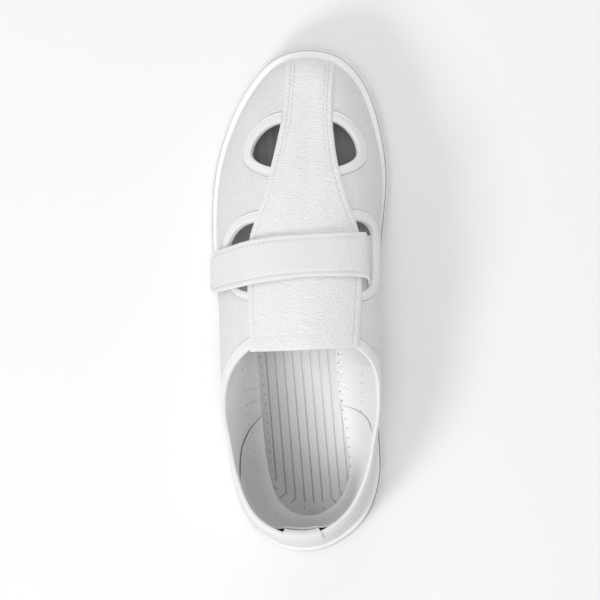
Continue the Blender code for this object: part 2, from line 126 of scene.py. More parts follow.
TREAD_FRONT = (8 * MM, 9)
CUT_TOP = 120 * MM


# The form of the last

def spline(a, b, c, d, u):
    """Smooth curve from b to c, steered by the values before and after them."""
    return b + 0.5 * u * (c - a + u * (2 * a - 5 * b + 4 * c - d + u * (3 * (b - c) + d - a)))


def through(values, place, odd=False):
    """A smooth curve through equally spaced values, mirrored past both ends."""
    sign = -1.0 if odd else 1.0
    padded = np.concatenate(([sign * values[1]], values, [sign * values[-2]]))
    place = np.clip(place, 0.0, len(values) - 1 - 1e-9)
    k = place.astype(int)
    return spline(*(padded[k + i] for i in range(4)), place - k)


def smoothstep(low, high, value):
    """0 up to low, 1 from high, smooth between."""
    u = np.clip((value - low) / (high - low), 0.0, 1.0)
    return u * u * (3.0 - 2.0 * u)


def plateau(rise_from, rise_to, fall_from, fall_to, value):
    """1 along a middle stretch, smooth down to 0 at both sides."""
    return smoothstep(rise_from, rise_to, value) * (1.0 - smoothstep(fall_from, fall_to, value))


def swell(value, at, half_width):
    """A soft swell, 1 at its middle."""
    return np.exp(-((value - at) / half_width) ** 2)


def rounded_edge(inset, reach):
    """A quarter-round edge, 0 at the edge and 1 from its reach."""
    return np.sqrt(1.0 - (1.0 - np.clip(inset / reach, 0.0, 1.0)) ** 2)


def unit(vectors):
    """Vectors at length 1."""
    return vectors / np.maximum(np.linalg.norm(vectors, axis=-1, keepdims=True), 1e-12)


def at_height(flat, z):
    """Plan points at a height."""
    return np.concatenate((flat, np.broadcast_to(z, flat.shape[:-1])[..., None]), -1)


def lengths(points):
    """Length along a run of points, up to each of them."""
    return np.concatenate(([0.0], np.cumsum(np.linalg.norm(np.diff(points, axis=0), axis=-1))))


def off_line(here, start, end):
    """How far along a line its place nearest to each point lies, and the step from there to the point."""
    run = end - start
    share = np.clip(((here - start) * run).sum(-1) / (run * run).sum(), 0.0, 1.0)
    return share, here - start - share[..., None] * run


LAST = {name: np.array([row[i] for row in SECTIONS]) * MM for i, name in enumerate(SECTION_COLUMNS)}
RIDGE_BLEND = 2.0
COLLAR_SIDE_END = 75.0


def last(name, turn):
    """One size of the last at each turn."""
    return through(LAST[name], np.abs(turn) / SECTION_STEP, odd=name == "half")


def wrapped(turn):
    """The same turn, between -180 and 180."""
    turn = np.asarray(turn, float)
    return np.where(np.abs(turn) > 180.0, (turn + 180.0) % 360.0 - 180.0, turn)


def outline(turn):
    """Plan point on the sole's widest edge."""
    turn = wrapped(turn)
    side = np.where(turn < 0, -1.0, 1.0)
    x = last("centre", turn) + side * last("half", turn)
    return np.stack((x, -SOLE_LENGTH / 2 * np.cos(np.radians(turn))), -1)


def plan(turn, out):
    """Plan point a distance out from the sole's widest edge."""
    turn = np.asarray(turn, float)
    run = outline(turn + 0.25) - outline(turn - 0.25)
    side = np.stack((run[..., 1], -run[..., 0]), -1)
    side /= np.linalg.norm(side, axis=-1, keepdims=True)
    return outline(turn) + side * np.asarray(out)[..., None]


def folded(turn, rise):
    """Turn and rise with a rise past 90 taken down the other side."""
    turn, rise = np.broadcast_arrays(np.asarray(turn, float), np.asarray(rise, float))
    over = rise > 90.0
    return np.where(over, -turn, turn), np.where(over, 180.0 - rise, rise)


def surface(turn, rise):
    """Point on the upper's outer face."""
    turn, rise = folded(turn, rise)
    turn = wrapped(turn)
    foot = plan(turn, -last("lip", turn))
    low = last("lip_z", turn)
    skirt = low - last("floor_z", turn) - GAP
    top = np.stack((last("ridge", turn), RIDGE_MID - RIDGE_HALF * np.cos(np.radians(turn))), -1)
    reach = foot - top
    bulge = np.where(turn < 0, last("bulge_lateral", turn), last("bulge_medial", turn))
    angle = np.radians(np.maximum(rise, 0.0))
    share = np.cos(angle) + bulge / np.linalg.norm(reach, axis=-1) * np.sin(2 * angle)
    z = low + (last("ridge_z", turn) - low) * np.sin(angle) + np.minimum(rise, 0.0) * skirt / abs(SKIRT)
    return at_height(top + reach * share[..., None], z)


def slopes(turn, rise, step=0.3):
    """Directions of the surface along the turn and up the rise, per degree."""
    along = (surface(turn + step, rise) - surface(turn - step, rise)) / (2 * step)
    up = (surface(turn, rise + step) - surface(turn, rise - step)) / (2 * step)
    return along, up


def outward(turn, rise):
    """Unit normal of the upper's outer face, both sides blended at the ridge line."""
    turn, rise = folded(turn, rise)
    low = np.minimum(rise, 90.0 - RIDGE_BLEND)
    here = unit(np.cross(*slopes(turn, low)))
    other = unit(np.cross(*slopes(-turn, low)))
    share = 0.5 * np.clip((rise - 90.0) / RIDGE_BLEND + 1.0, 0.0, 1.0)[..., None]
    return unit(here * (1.0 - share) + other * share)


def raised(turn, rise, out):
    """Point a distance out from the upper's outer face."""
    return surface(turn, rise) + outward(turn, rise) * np.asarray(out)[..., None]


def collar_rise(turn):
    """Rise of the collar's edge, up to the ridge line at the throat."""
    power = np.where(np.asarray(turn) > 0, THROAT_POWERS[1], THROAT_POWERS[0])
    turn = np.abs(np.asarray(turn, float))
    low = last("lip_z", turn)
    height = last("ridge_z", np.minimum(turn, COLLAR_SIDE_END)) - low
    side = np.degrees(np.arcsin(np.clip((last("collar_z", turn) - low) / height, -1.0, 1.0)))
    start, end = COLLAR_FRONT
    along = np.clip((turn - start) / (end - start), 0.0, 1.0)
    return side + (90.0 - side) * (1.0 - (1.0 - along ** power) ** (1.0 / power))


SEED_TURNS = np.linspace(64.0, 180.0, 90)
SEED_ACROSS = np.linspace(6.0, 174.0, 70)
SEEDS = np.stack(np.meshgrid(SEED_TURNS, SEED_ACROSS, indexing="ij"), -1).reshape(-1, 2)
SEED_PLACES = surface(-SEEDS[:, 0], SEEDS[:, 1])
SEED_BATCH = 1000
UPPERMOST = 0.00002
SEARCH_STEPS = 6
SEARCH_REACH = 4.0
NUDGE = 0.1


def locate(x, y):
    """Turn and place across, over the top of the foot, of plan points."""
    goal = np.stack((np.ravel(x), np.ravel(y)), -1)
    found = np.empty((len(goal), 2))
    for start in range(0, len(goal), SEED_BATCH):
        part = goal[start:start + SEED_BATCH, None]
        gap = ((part - SEED_PLACES[None, :, :2]) ** 2).sum(-1) - UPPERMOST * SEED_PLACES[None, :, 2]
        found[start:start + SEED_BATCH] = SEEDS[gap.argmin(1)]
    for _ in range(SEARCH_STEPS):
        turn, across = found.T.copy()
        miss_x, miss_y = (goal - surface(-turn, across)[:, :2]).T
        by_turn = surface(-turn - NUDGE, across) - surface(-turn + NUDGE, across)
        by_across = surface(-turn, across + NUDGE) - surface(-turn, across - NUDGE)
        a, b = by_turn[:, :2].T / (2 * NUDGE)
        c, d = by_across[:, :2].T / (2 * NUDGE)
        size = a * d - b * c
        size = np.where(np.abs(size) < 1e-10, 1e-10, size)
        found[:, 0] += np.clip((miss_x * d - miss_y * c) / size, -SEARCH_REACH, SEARCH_REACH)
        found[:, 1] += np.clip((a * miss_y - b * miss_x) / size, -SEARCH_REACH, SEARCH_REACH)
    return found[:, 0].reshape(np.shape(x)), found[:, 1].reshape(np.shape(x))


# Tools of the bench

WELD = 0.02 * MM
SHARP_ANGLE = radians(38.0)


def pick(piece):
    """Make a piece the only one selected."""
    bpy.ops.object.select_all(action='DESELECT')
    piece.select_set(True)
    bpy.context.view_layer.objects.active = piece


def started(name):
    """The primitive just added, under its own name."""
    piece = bpy.context.object
    piece.name = name
    piece.data.name = name
    return piece


def face_outwards():
    """Turn all faces of the piece in edit mode outwards."""
    bpy.ops.mesh.select_all(action='SELECT')
    bpy.ops.mesh.normals_make_consistent(inside=False)


def draped(name, places, finishes, closed=False, marked=()):
    """A grid primitive moved onto an array of places, columns first, and welded.

    A closed piece has its ends filled, and faces in marked rows take the second finish.
    """
    columns, rows = places.shape[:2]
    bpy.ops.object.select_all(action='DESELECT')
    bpy.ops.mesh.primitive_grid_add(x_subdivisions=columns - 1, y_subdivisions=rows - 1, size=1.0)
    piece = started(name)
    mesh = piece.data
    flat = np.empty(len(mesh.vertices) * 3)
    mesh.vertices.foreach_get("co", flat)
    flat = flat.reshape(-1, 3)
    i = np.rint((flat[:, 0] + 0.5) * (columns - 1)).astype(int)
    j = np.rint((flat[:, 1] + 0.5) * (rows - 1)).astype(int)
    mesh.vertices.foreach_set("co", places[i, j].ravel())
    corners = np.empty(len(mesh.polygons) * 4, int)
    mesh.polygons.foreach_get("vertices", corners)
    second = np.isin(j[corners.reshape(-1, 4)].min(1), marked)
    mesh.polygons.foreach_set("material_index", second.astype(int))
    mesh.update()
    bpy.ops.object.mode_set(mode='EDIT')
    bpy.ops.mesh.select_all(action='SELECT')
    bpy.ops.mesh.remove_doubles(threshold=WELD)
    if closed:
        bpy.ops.mesh.select_all(action='SELECT')
        bpy.ops.mesh.dissolve_degenerate(threshold=WELD / 4)
        bpy.ops.mesh.select_all(action='SELECT')
        bpy.ops.mesh.fill_holes(sides=0)
        face_outwards()
    bpy.ops.object.mode_set(mode='OBJECT')
    for item in finishes:
        piece.data.materials.append(item)
    return piece


def apply(piece, kind, **settings):
    """Add a modifier and apply it."""
    pick(piece)
    tool = piece.modifiers.new(kind.lower(), kind)
    for key, value in settings.items():
        setattr(tool, key, value)
    bpy.ops.object.modifier_apply(modifier=tool.name)


def prism(name, x, y, low, high):
    """A cutter with a plan outline, drawn up from a filled polygon."""
    bpy.ops.object.select_all(action='DESELECT')
    bpy.ops.mesh.primitive_circle_add(vertices=len(x), radius=1.0, fill_type='NGON', location=(0, 0, 0))
    tool = started(name)
    tool.data.vertices.foreach_set("co", at_height(np.stack((x, y), -1), low).ravel())
    bpy.ops.object.mode_set(mode='EDIT')
    bpy.ops.mesh.select_all(action='SELECT')
    bpy.ops.mesh.extrude_region_move(TRANSFORM_OT_translate={"value": (0, 0, high - low)})
    face_outwards()
    bpy.ops.object.mode_set(mode='OBJECT')
    return tool


def cut(piece, tool, operation='DIFFERENCE'):
    """Cut a piece with a tool, and put the tool away."""
    apply(piece, 'BOOLEAN', operation=operation, solver='EXACT', object=tool)
    bpy.data.objects.remove(tool, do_unlink=True)


def dress(piece, slot, *nodes):
    """Fix a finished piece to the shoe, in place of the solids it stands for."""
    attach(piece, "root")
    if nodes:
        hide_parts(*nodes)
    return piece


def dress_smooth(piece, slot, *nodes):
    """Shade a piece smooth with its sharp edges kept, and fix it to the shoe."""
    pick(piece)
    bpy.ops.object.shade_smooth_by_angle(angle=SHARP_ANGLE)
    return dress(piece, slot, *nodes)


def at_lengths(values, far, places):
    """Values of a run at lengths along it."""
    return np.stack([np.interp(places, far, column) for column in values.T], -1)


def spaced(points, pitch, start):
    """Points and directions at equal steps along a run of points, and their share of the way."""
    far = lengths(points)
    places = np.arange(start + pitch / 2, far[-1], pitch)
    ahead = at_lengths(points, far, np.minimum(places + pitch / 4, far[-1]))
    behind = at_lengths(points, far, np.maximum(places - pitch / 4, 0.0))
    return at_lengths(points, far, places), unit(ahead - behind), places / far[-1]


THREAD_SIZE = (0.42, 0.315, 1.8)
NEEDLE_SIZE = (0.42, 0.2, 0.7)
SEAM_PITCH = 2.6 * MM
LINING_NEEDLE_SIZE = (0.55, 0.24, 0.9)
LINING_PITCH = 5.2 * MM


def bead_model(size):
    """Corners and faces of one small rounded bead, its length along Z."""
    bpy.ops.object.select_all(action='DESELECT')
    bpy.ops.mesh.primitive_uv_sphere_add(segments=6, ring_count=6, radius=0.5 * MM)
    bpy.ops.transform.resize(value=size)
    bpy.ops.object.transform_apply(location=False, rotation=False, scale=True)
    model = bpy.context.object
    corners = np.array([v.co for v in model.data.vertices])
    faces = [tuple(f.vertices) for f in model.data.polygons]
    bpy.data.objects.remove(model, do_unlink=True)
    return corners, faces


def stitches(name, rows, slot, hole_finish, hole=NEEDLE_SIZE, pitch=SEAM_PITCH, sewn=True):
    """Rows of needle holes, each a run of points with its normals; sewn ones have thread between them."""
    sizes = {1: hole, 0: THREAD_SIZE} if sewn else {1: hole}
    models = [(kind, *bead_model(size)) for kind, size in sizes.items()]
    points, polygons, kinds, count = [], [], [], 0
    for run, normals in rows:
        for kind, corners, faces in models:
            here, ahead, share = spaced(run, pitch, kind * pitch / 2)
            up = at_lengths(normals, np.arange(len(run)), share * (len(run) - 1))
            up = unit(up - ahead * (up * ahead).sum(-1, keepdims=True))
            side = np.cross(up, ahead)
            for place, *axes in zip(here, side, up, ahead):
                points.append(place + corners @ np.stack(axes))
                polygons += [tuple(count + v for v in face) for face in faces]
                kinds += [kind] * len(faces)
                count += len(corners)
    mesh = bpy.data.meshes.new(name)
    mesh.from_pydata(np.concatenate(points).tolist(), [], polygons)
    mesh.polygons.foreach_set("material_index", kinds)
    mesh.shade_smooth()
    piece = bpy.data.objects.new(name, mesh)
    bpy.context.scene.collection.objects.link(piece)
    for item in (THREAD, hole_finish):
        mesh.materials.append(item)
    return dress(piece, slot)


# Finishes

def finish(name, colour, roughness, specular, **sockets):
    """A new Principled finish, its uniform values set on the shader."""
    made = bpy.data.materials.new(name)
    made.use_nodes = True
    made.diffuse_color = (*colour, 1.0)
    socket(made, "Base Color").default_value = (*colour, 1.0)
    socket(made, "Roughness").default_value = roughness
    socket(made, "Specular IOR Level").default_value = specular
    for key, value in sockets.items():
        socket(made, key.replace("_", " ").title()).default_value = value
    return made


def socket(made, name):
    """A socket of the finish's shader."""
    return made.node_tree.nodes["Principled BSDF"].inputs[name]


def node(made, kind, **values):
    """A node of a finish, with its settings and socket values."""
    item = made.node_tree.nodes.new("ShaderNode" + kind)
    for key, value in values.items():
        if key in item.inputs.keys():
            item.inputs[key].default_value = value
        else:
            setattr(item, key, value)
    return item


def wire(made, out, into):
    """Join two sockets."""
    made.node_tree.links.new(out, into)


def place_on(made, stretch=(1.0, 1.0, 1.0), turn=(0.0, 0.0, 0.0)):
    """Object coordinates, stretched and turned for a pattern."""
    where = node(made, "TexCoord")
    fit = node(made, "Mapping", Scale=stretch, Rotation=turn)
    wire(made, where.outputs["Object"], fit.inputs["Vector"])
    return fit.outputs["Vector"]


def pattern(made, kind, where, out, **values):
    """One output of a pattern laid over places."""
    item = node(made, kind, **values)
    wire(made, where, item.inputs["Vector"])
    return item.outputs[out]


def noise(made, where, scale, detail=3.0):
    """A noise pattern."""
    return pattern(made, "TexNoise", where, "Fac", Scale=scale, Detail=detail, Roughness=0.55)


def cells(made, where, scale, smooth=0.4):
    """A pattern of rounded cells."""
    return pattern(made, "TexVoronoi", where, "Distance", feature='SMOOTH_F1', Scale=scale, Smoothness=smooth)


def bands(made, where, scale, direction='X', distortion=0.0):
    """A pattern of even bands."""
    return pattern(made, "TexWave", where, "Fac", bands_direction=direction, Scale=scale,
                   Distortion=distortion, Detail=1.0, **{"Detail Scale": 2.0})


def bumps(made, *layers):
    """Layers of relief, each a height, a depth in metres and a strength."""
    normal = None
    for height, depth, strength in layers:
        item = node(made, "Bump", Distance=depth, Strength=strength)
        wire(made, height, item.inputs["Height"])
        if normal is not None:
            wire(made, normal, item.inputs["Normal"])
        normal = item.outputs["Normal"]
    wire(made, normal, socket(made, "Normal"))


def ramp(made, value, low, high, out_low=0.0, out_high=1.0):
    """A value carried from one range to another."""
    ends = {"From Min": low, "From Max": high, "To Min": out_low, "To Max": out_high}
    item = node(made, "MapRange", **ends)
    wire(made, value, item.inputs["Value"])
    return item.outputs["Result"]


def blend_colour(made, share, first, second):
    """Colour going from the first to the second with a pattern."""
    item = node(made, "ValToRGB")
    item.color_ramp.elements[0].color = (*first, 1.0)
    item.color_ramp.elements[1].color = (*second, 1.0)
    wire(made, share, item.inputs["Fac"])
    return item.outputs["Color"]


def wander_gloss(made, where, scale, low, high, detail=3.0):
    """Roughness that wanders between two values."""
    wire(made, ramp(made, noise(made, where, scale, detail), 0.3, 0.7, low, high), socket(made, "Roughness"))


def wander_tone(made, value, low, high, shade, light):
    """Colour that goes from shade to light over a range of a pattern's values."""
    wire(made, blend_colour(made, ramp(made, value, low, high), shade, light), socket(made, "Base Color"))


def grained_leather(name, light, shade):
    """White coated leather: fine grain drawn out across the foot, and faint unevenness."""
    made = finish(name, light, 0.5, 0.4, coat_weight=0.06, coat_roughness=0.45)
    where = place_on(made)
    grain = place_on(made, (0.62, 1.0, 0.9))
    wander_tone(made, noise(made, where, 38.0, 4.0), 0.35, 0.68, shade, light)
    wander_gloss(made, where, 320.0, 0.44, 0.58)
    bumps(made,
          (noise(made, place_on(made, (0.5, 1.0, 1.0)), 160.0, 2.0), 0.0004, 0.16),
          (noise(made, place_on(made, (0.24, 1.0, 0.85)), 1750.0, 0.0), 0.00052, 0.85),
          (cells(made, grain, 1700.0), 0.0002, 0.4),
          (noise(made, grain, 2900.0, 2.0), 0.0001, 0.25))
    return made


def moulded_rubber(name, light, shade):
    """White moulded sole: a fine matt texture with soft gloss and faint grey at random."""
    made = finish(name, light, 0.42, 0.45, coat_weight=0.08, coat_roughness=0.3)
    where = place_on(made)
    wander_tone(made, noise(made, where, 55.0, 5.0), 0.32, 0.7, shade, light)
    wander_gloss(made, where, 420.0, 0.34, 0.52, 4.0)
    bumps(made,
          (noise(made, where, 150.0, 2.0), 0.0004, 0.12),
          (noise(made, where, 2400.0, 2.0), 0.0001, 0.22))
    return made


def woven(name, light, shade, scale, turn=(0.0, 0.0, 0.0)):
    """Plain weave of two crossing sets of threads."""
    made = finish(name, light, 0.78, 0.25, sheen_weight=0.12, sheen_roughness=0.5)
    where = place_on(made, turn=turn)
    both = node(made, "Math", operation='MULTIPLY')
    for k, direction in enumerate('XY'):
        wire(made, bands(made, where, scale, direction, 0.4), both.inputs[k])
    wire(made, blend_colour(made, both.outputs[0], shade, light), socket(made, "Base Color"))
    wander_gloss(made, where, 600.0, 0.7, 0.86)
    bumps(made,
          (both.outputs[0], 0.00018, 0.5),
          (noise(made, where, 3000.0, 2.0), 0.0001, 0.3))
    return made


def strap_cloth(name, light, shade):
    """Dense elastic cloth: fine cords along the shoe, crossed by hair-fine threads."""
    made = finish(name, light, 0.7, 0.28, sheen_weight=0.1, sheen_roughness=0.5)
    where = place_on(made)
    wander_tone(made, noise(made, place_on(made, (1.0, 0.4, 1.0)), 90.0, 3.0), 0.35, 0.68, shade, light)
    wander_gloss(made, where, 500.0, 0.62, 0.78)
    bumps(made,
          (noise(made, place_on(made, (1.0, 0.12, 1.0)), 1500.0, 2.0), 0.00012, 0.35),
          (noise(made, where, 2600.0, 2.0), 0.0001, 0.25))
    return made


# Painted shade deepens against this direction: towards the lateral side and the heel, and low down as far as
# each finish's lift sets
PAINTED_SHADE_SLANT = (0.766, 0.643)


def lining_cloth_with_painted_shade(name, heel, rear, front, fade, lift):
    """Knitted lining with painted shade: darker low down at the lateral side of the heel and towards the toe,
    for the shadow inside the shoe.
    """
    made = finish(name, rear, 0.85, 0.2, sheen_weight=0.15, sheen_roughness=0.6)
    where = place_on(made)
    slant = node(made, "VectorMath", operation='DOT_PRODUCT')
    slant.inputs[1].default_value = (*PAINTED_SHADE_SLANT, lift)
    wire(made, where, slant.inputs[0])
    split = node(made, "SeparateXYZ")
    wire(made, where, split.inputs[0])
    tone = node(made, "Mix", data_type='RGBA')
    to_toe, first, second = (tone.inputs[k] for k in (0, 6, 7))
    # Painted shade: darker towards the toe, and low at the lateral side of the heel
    wire(made, ramp(made, split.outputs["Y"], *fade[2:]), to_toe)
    wire(made, blend_colour(made, ramp(made, slant.outputs["Value"], *fade[:2]), heel, rear), first)
    second.default_value = (*front, 1.0)
    wire(made, tone.outputs[2], socket(made, "Base Color"))
    wander_gloss(made, where, 500.0, 0.78, 0.9)
    bumps(made,
          (cells(made, where, 900.0, 0.2), 0.0002, 0.5),
          (noise(made, where, 2600.0, 2.0), 0.0001, 0.3))
    return made


def thread(name, colour):
    """Twisted sewing thread."""
    made = finish(name, colour, 0.6, 0.35, sheen_weight=0.1)
    where = place_on(made, turn=(0.5, 0.6, 0.7))
    wander_gloss(made, where, 900.0, 0.5, 0.7)
    bumps(made, (bands(made, where, 2200.0), 0.00012, 0.5))
    return made


def needle_holes(name, light, shade):
    """Small needle holes, their shade painted dark on small beads."""
    made = finish(name, light, 0.9, 0.1)
    tone = blend_colour(made, noise(made, place_on(made), 700.0), shade, light)
    wire(made, tone, socket(made, "Base Color"))
    return made


# One white leather: the strip is set lighter and the sides darker as painted light, for the top catching more
# light than the sides
SHADED_LEATHER = grained_leather("shaded_white_leather", (0.77, 0.772, 0.785), (0.737, 0.74, 0.756))
LIT_STRIP_LEATHER = grained_leather("lit_strip_leather", (0.826, 0.828, 0.84), (0.793, 0.796, 0.81))
RUBBER = moulded_rubber("white_rubber", (0.91, 0.91, 0.912), (0.885, 0.885, 0.888))
# Painted shade: grey rubber on the ledge's rounded edge and in the groove between ledge and lip, for the
# shade there
SOLE_SHADE_LINE = moulded_rubber("sole_shade_line", (0.7, 0.7, 0.71), (0.62, 0.62, 0.63))
ELASTIC = strap_cloth("ribbed_elastic", (0.777, 0.778, 0.789), (0.745, 0.747, 0.759))
TAPE = woven("binding_tape", (0.84, 0.842, 0.849), (0.793, 0.796, 0.804), 420.0, (0.0, 0.0, radians(45)))
# Painted shade: a grey line along the tapes' outer edges, for the shadow gap under them
TAPE_EDGE_SHADE = woven("tape_edge_shade", (0.6, 0.6, 0.605), (0.54, 0.54, 0.545), 420.0)
TAB_TAPE = woven("heel_tape", (0.82, 0.822, 0.829), (0.746, 0.749, 0.76), 300.0)
# Painted shade: the heel colours of these cloths, and the toe colours of lining and footbed, are darker than
# the cloth itself, for the shadow inside the shoe
LINING = lining_cloth_with_painted_shade("knitted_lining", (0.63, 0.63, 0.635), (0.94, 0.94, 0.945), (0.47, 0.47, 0.475),
                      (-0.034, -0.007, -0.015, 0.055), 1.0)
COUNTER_CLOTH = lining_cloth_with_painted_shade("counter_cloth", (0.52, 0.52, 0.522), (0.93, 0.93, 0.935), (0.93, 0.93, 0.935),
                             (-0.068, -0.016, 0.0, 0.01), 0.25)
# Painted shade: near-black cloth on the counter's rim and flange, for the shadow gap under its edge
COUNTER_RIM_SHADE = woven("counter_rim_shade", (0.24, 0.24, 0.245), (0.18, 0.18, 0.185), 360.0)
FOOTBED = lining_cloth_with_painted_shade("footbed_cloth", (0.38, 0.38, 0.38), (0.86, 0.86, 0.862), (0.47, 0.47, 0.472),
                       (-0.044, -0.0005, -0.015, 0.055), 1.0)
THREAD = thread("white_thread", (0.8, 0.8, 0.807))
# Painted shade: dark beads stand in for the shadow inside needle holes
NEEDLE_HOLE = needle_holes("needle_holes", (0.54, 0.54, 0.555), (0.46, 0.46, 0.475))
LINING_HOLE = needle_holes("lining_holes", (0.16, 0.16, 0.165), (0.1, 0.1, 0.105))


# Pieces of the shoe

SOLE_SIDE = (
    (0.00, -2.6),
    (0.10, -0.7),
    (0.40, 0.0),
    (0.735, 0.0),
    (0.77, -0.25),
    (0.765, -0.75),
    (0.73, -1.05),
    (0.79, -1.4),
    (0.94, -1.35),
    (1.00, -1.9),
)
SOLE_MID_HEIGHT = 25.0
SOLE_EDGE_ROUND = 0.5
UNDER_SHARES = (1.0, 0.8, 0.6, 0.4, 0.2, 0.08)
TOE_LEDGE = (128.0, 165.0, 0.3)
LIP_GAP = 0.06 * MM
LIP_CROWN = ((0.12, 0.2), (0.4, 0.28), (0.8, 0.26), (0.95, 0.16), (1.0, -0.05))
TOE_BUMPER = (138.0, 170.0, 2.0 * MM)
# Painted shade lines on the sole's side: height shares, the groove's reach out, and the ledge's edge
LINE_SHARES = (0.7, 0.79)
LINE_GROOVE = (-1.36, -0.74)
LINE_RIM = -0.3
RECESS_STEP = 3 * MM
FINE_TREAD = (6.5 * MM, 1.0 * MM, 0.9 * MM)
TREAD_REACH = 70 * MM
TREAD_FROM = -4 * MM


def round_columns():
    """Columns from the toe tip along the lateral side, round the heel and back to the toe tip."""
    start, end = COLLAR_FRONT
    rear = np.arange(0.0, start, 1.25)
    throat = start + (end - start) * np.sin(np.radians(np.linspace(0.0, 90.0, 17)))
    front = np.linspace(end, 180.0, 84)[1:]
    medial = np.concatenate((rear, throat, front))
    return np.concatenate((-medial[::-1], medial[1:]))


def bottom_z(y):
    """Height of the sole's underside: heel bevel, arch and toe spring."""
    arch = plateau(*ARCH_REAR, *ARCH_FRONT, y)
    spring = np.maximum(y - TOE_SPRING_FROM, 0.0) / (SOLE_LENGTH / 2 - TOE_SPRING_FROM)
    heel = np.maximum(HEEL_BEVEL_FROM - y, 0.0) / (SOLE_LENGTH / 2 + HEEL_BEVEL_FROM)
    return ARCH_RISE * arch + TOE_SPRING * spring ** 1.6 + HEEL_BEVEL * heel


def rounded(points, back, steps=4):
    """A run of points with its inner corners rounded off."""
    points = np.asarray(points, float)
    run = [points[0]]
    for before, corner, after in zip(points, points[1:], points[2:]):
        near = min(back, 0.45 * np.linalg.norm(corner - before))
        far = min(back, 0.45 * np.linalg.norm(after - corner))
        first = corner - unit(corner - before) * near
        second = corner + unit(after - corner) * far
        for u in np.linspace(0.0, 1.0, steps + 1):
            run.append((1 - u) ** 2 * first + 2 * u * (1 - u) * corner + u * u * second)
    run.append(points[-1])
    return np.array(run)


def outsole_cup():
    """Cup sole: underside, stepped side with soft edges, crowned lip and the recess for the upper."""
    turn = round_columns()
    size = np.abs(turn)
    side = rounded([(share * SOLE_MID_HEIGHT, out) for share, out in SOLE_SIDE], SOLE_EDGE_ROUND)
    lip_in = LIP_GAP - last("lip", turn)
    lip_z = last("lip_z", turn) + TOE_BUMPER[2] * smoothstep(*TOE_BUMPER[:2], size)
    ledge = 1.0 + TOE_LEDGE[2] * smoothstep(*TOE_LEDGE[:2], size)

    def edge(out, z):
        return at_height(plan(turn, out), z)

    def under(share):
        foot = edge(np.full_like(turn, side[0, 1] * MM), 0.0)
        flat = foot + (foot[::-1] - foot) / 2 * share
        flat[:, 2] = bottom_z(flat[:, 1])
        return flat

    rows = [under(share) for share in UNDER_SHARES]
    height, out = ((side[1:] + side[:-1]) / 2).T
    # Rows on the ledge's rounded edge and in the groove take painted shade
    lined = (height > LINE_SHARES[0] * SOLE_MID_HEIGHT) & (height < LINE_SHARES[1] * SOLE_MID_HEIGHT)
    lined &= (out > LINE_RIM) | ((out > LINE_GROOVE[0]) & (out < LINE_GROOVE[1]))
    marked = len(rows) + np.flatnonzero(lined)
    for height, out in side:
        where = out * MM * (ledge if height > SOLE_MID_HEIGHT / 2 else np.ones_like(turn))
        foot = bottom_z(plan(turn, where)[:, 1])
        rows.append(edge(where, foot + height / SOLE_MID_HEIGHT * (lip_z - foot)))
    rim = side[-1, 1] * MM * ledge
    rows += [edge(rim + (lip_in - rim) * share, lip_z + crown * MM) for share, crown in LIP_CROWN]
    rows.append(edge(lip_in, lip_z - RECESS_STEP))
    base = edge(GAP - last("lip", turn), last("floor_z", turn))
    rows += [base, (base + base[::-1]) / 2]
    piece = draped("outsole_cup", np.stack(rows, 1), (RUBBER, SOLE_SHADE_LINE), closed=True, marked=marked)
    x, y = np.array(((-1, -1), (1, -1), (1, 1), (-1, 1))).T
    bars = [first + k * TREAD_PITCH for first, count in (TREAD_HEEL, TREAD_FRONT) for k in range(count)]
    for bar in bars:
        for at, wide, deep in ((bar, TREAD_WIDTH, TREAD_DEPTH), (bar + FINE_TREAD[0], *FINE_TREAD[1:])):
            top = float(bottom_z(at)) + deep
            cut(piece, prism("tread", x * TREAD_REACH, at + y * wide / 2, TREAD_FROM, top))
    return dress_smooth(piece, "outsole", "outsole")


def insole_edges():
    """Run along the insole: place along, lateral and medial edges, and height of its top."""
    turn = np.linspace(0.0, 180.0, 361)
    inset = last("lip", turn) + WALL + GAP
    medial = plan(turn, -inset)
    lateral = plan(-turn, -inset)
    y = (medial[:, 1] + lateral[:, 1]) / 2
    return y, lateral[:, 0], medial[:, 0], last("floor_z", turn) + GAP + INSOLE_THICK


INSOLE_RUN = insole_edges()
GROOVES = 9
GROOVE_PITCH = 4.9 * MM
GROOVE_LEAN = -0.088
GROOVE_MIDDLE = (3.3 * MM, -54 * MM)
GROOVE_DEPTH = 0.9 * MM
GROOVE_HALF_WIDTH = 0.26 * MM
GROOVE_REAR = -111 * MM
GROOVE_ENDS_CURVE = 17 * MM
GROOVE_TICK = 3.0 * MM
GROOVE_BEND = 3.4 * MM
BED_FINE = (-118 * MM, -94 * MM)
BED_FRONT = -15 * MM
GROOVE_BEAD = (0.75 * MM, 0.4 * MM, 0.3)
GROOVE_FRONT = 140 * MM
GROOVE_ENDS_ROUND = 0.92
GROOVE_MARGIN = 4 * MM
GROOVE_BEND_WAY = (0.9, -0.75)
GROOVE_TICK_WAY = (1.0, -0.5)
GROOVE_TICK_OFF = (1.2 * MM, -4.0 * MM)
GROOVE_DOT_OFF = (1.5 * MM, -3.2 * MM)
GROOVE_DOT = (0.0, -0.3 * MM)
TICKED_FROM = 0.9
BENT_FROM = 0.3
BED_STEP = 0.4 * MM
BED_MIDDLE = (0.42, 0.58)
BED_CORE = (GROOVES / 2 + 0.2) * GROOVE_PITCH
BED_CORE_SHARE = 0.8


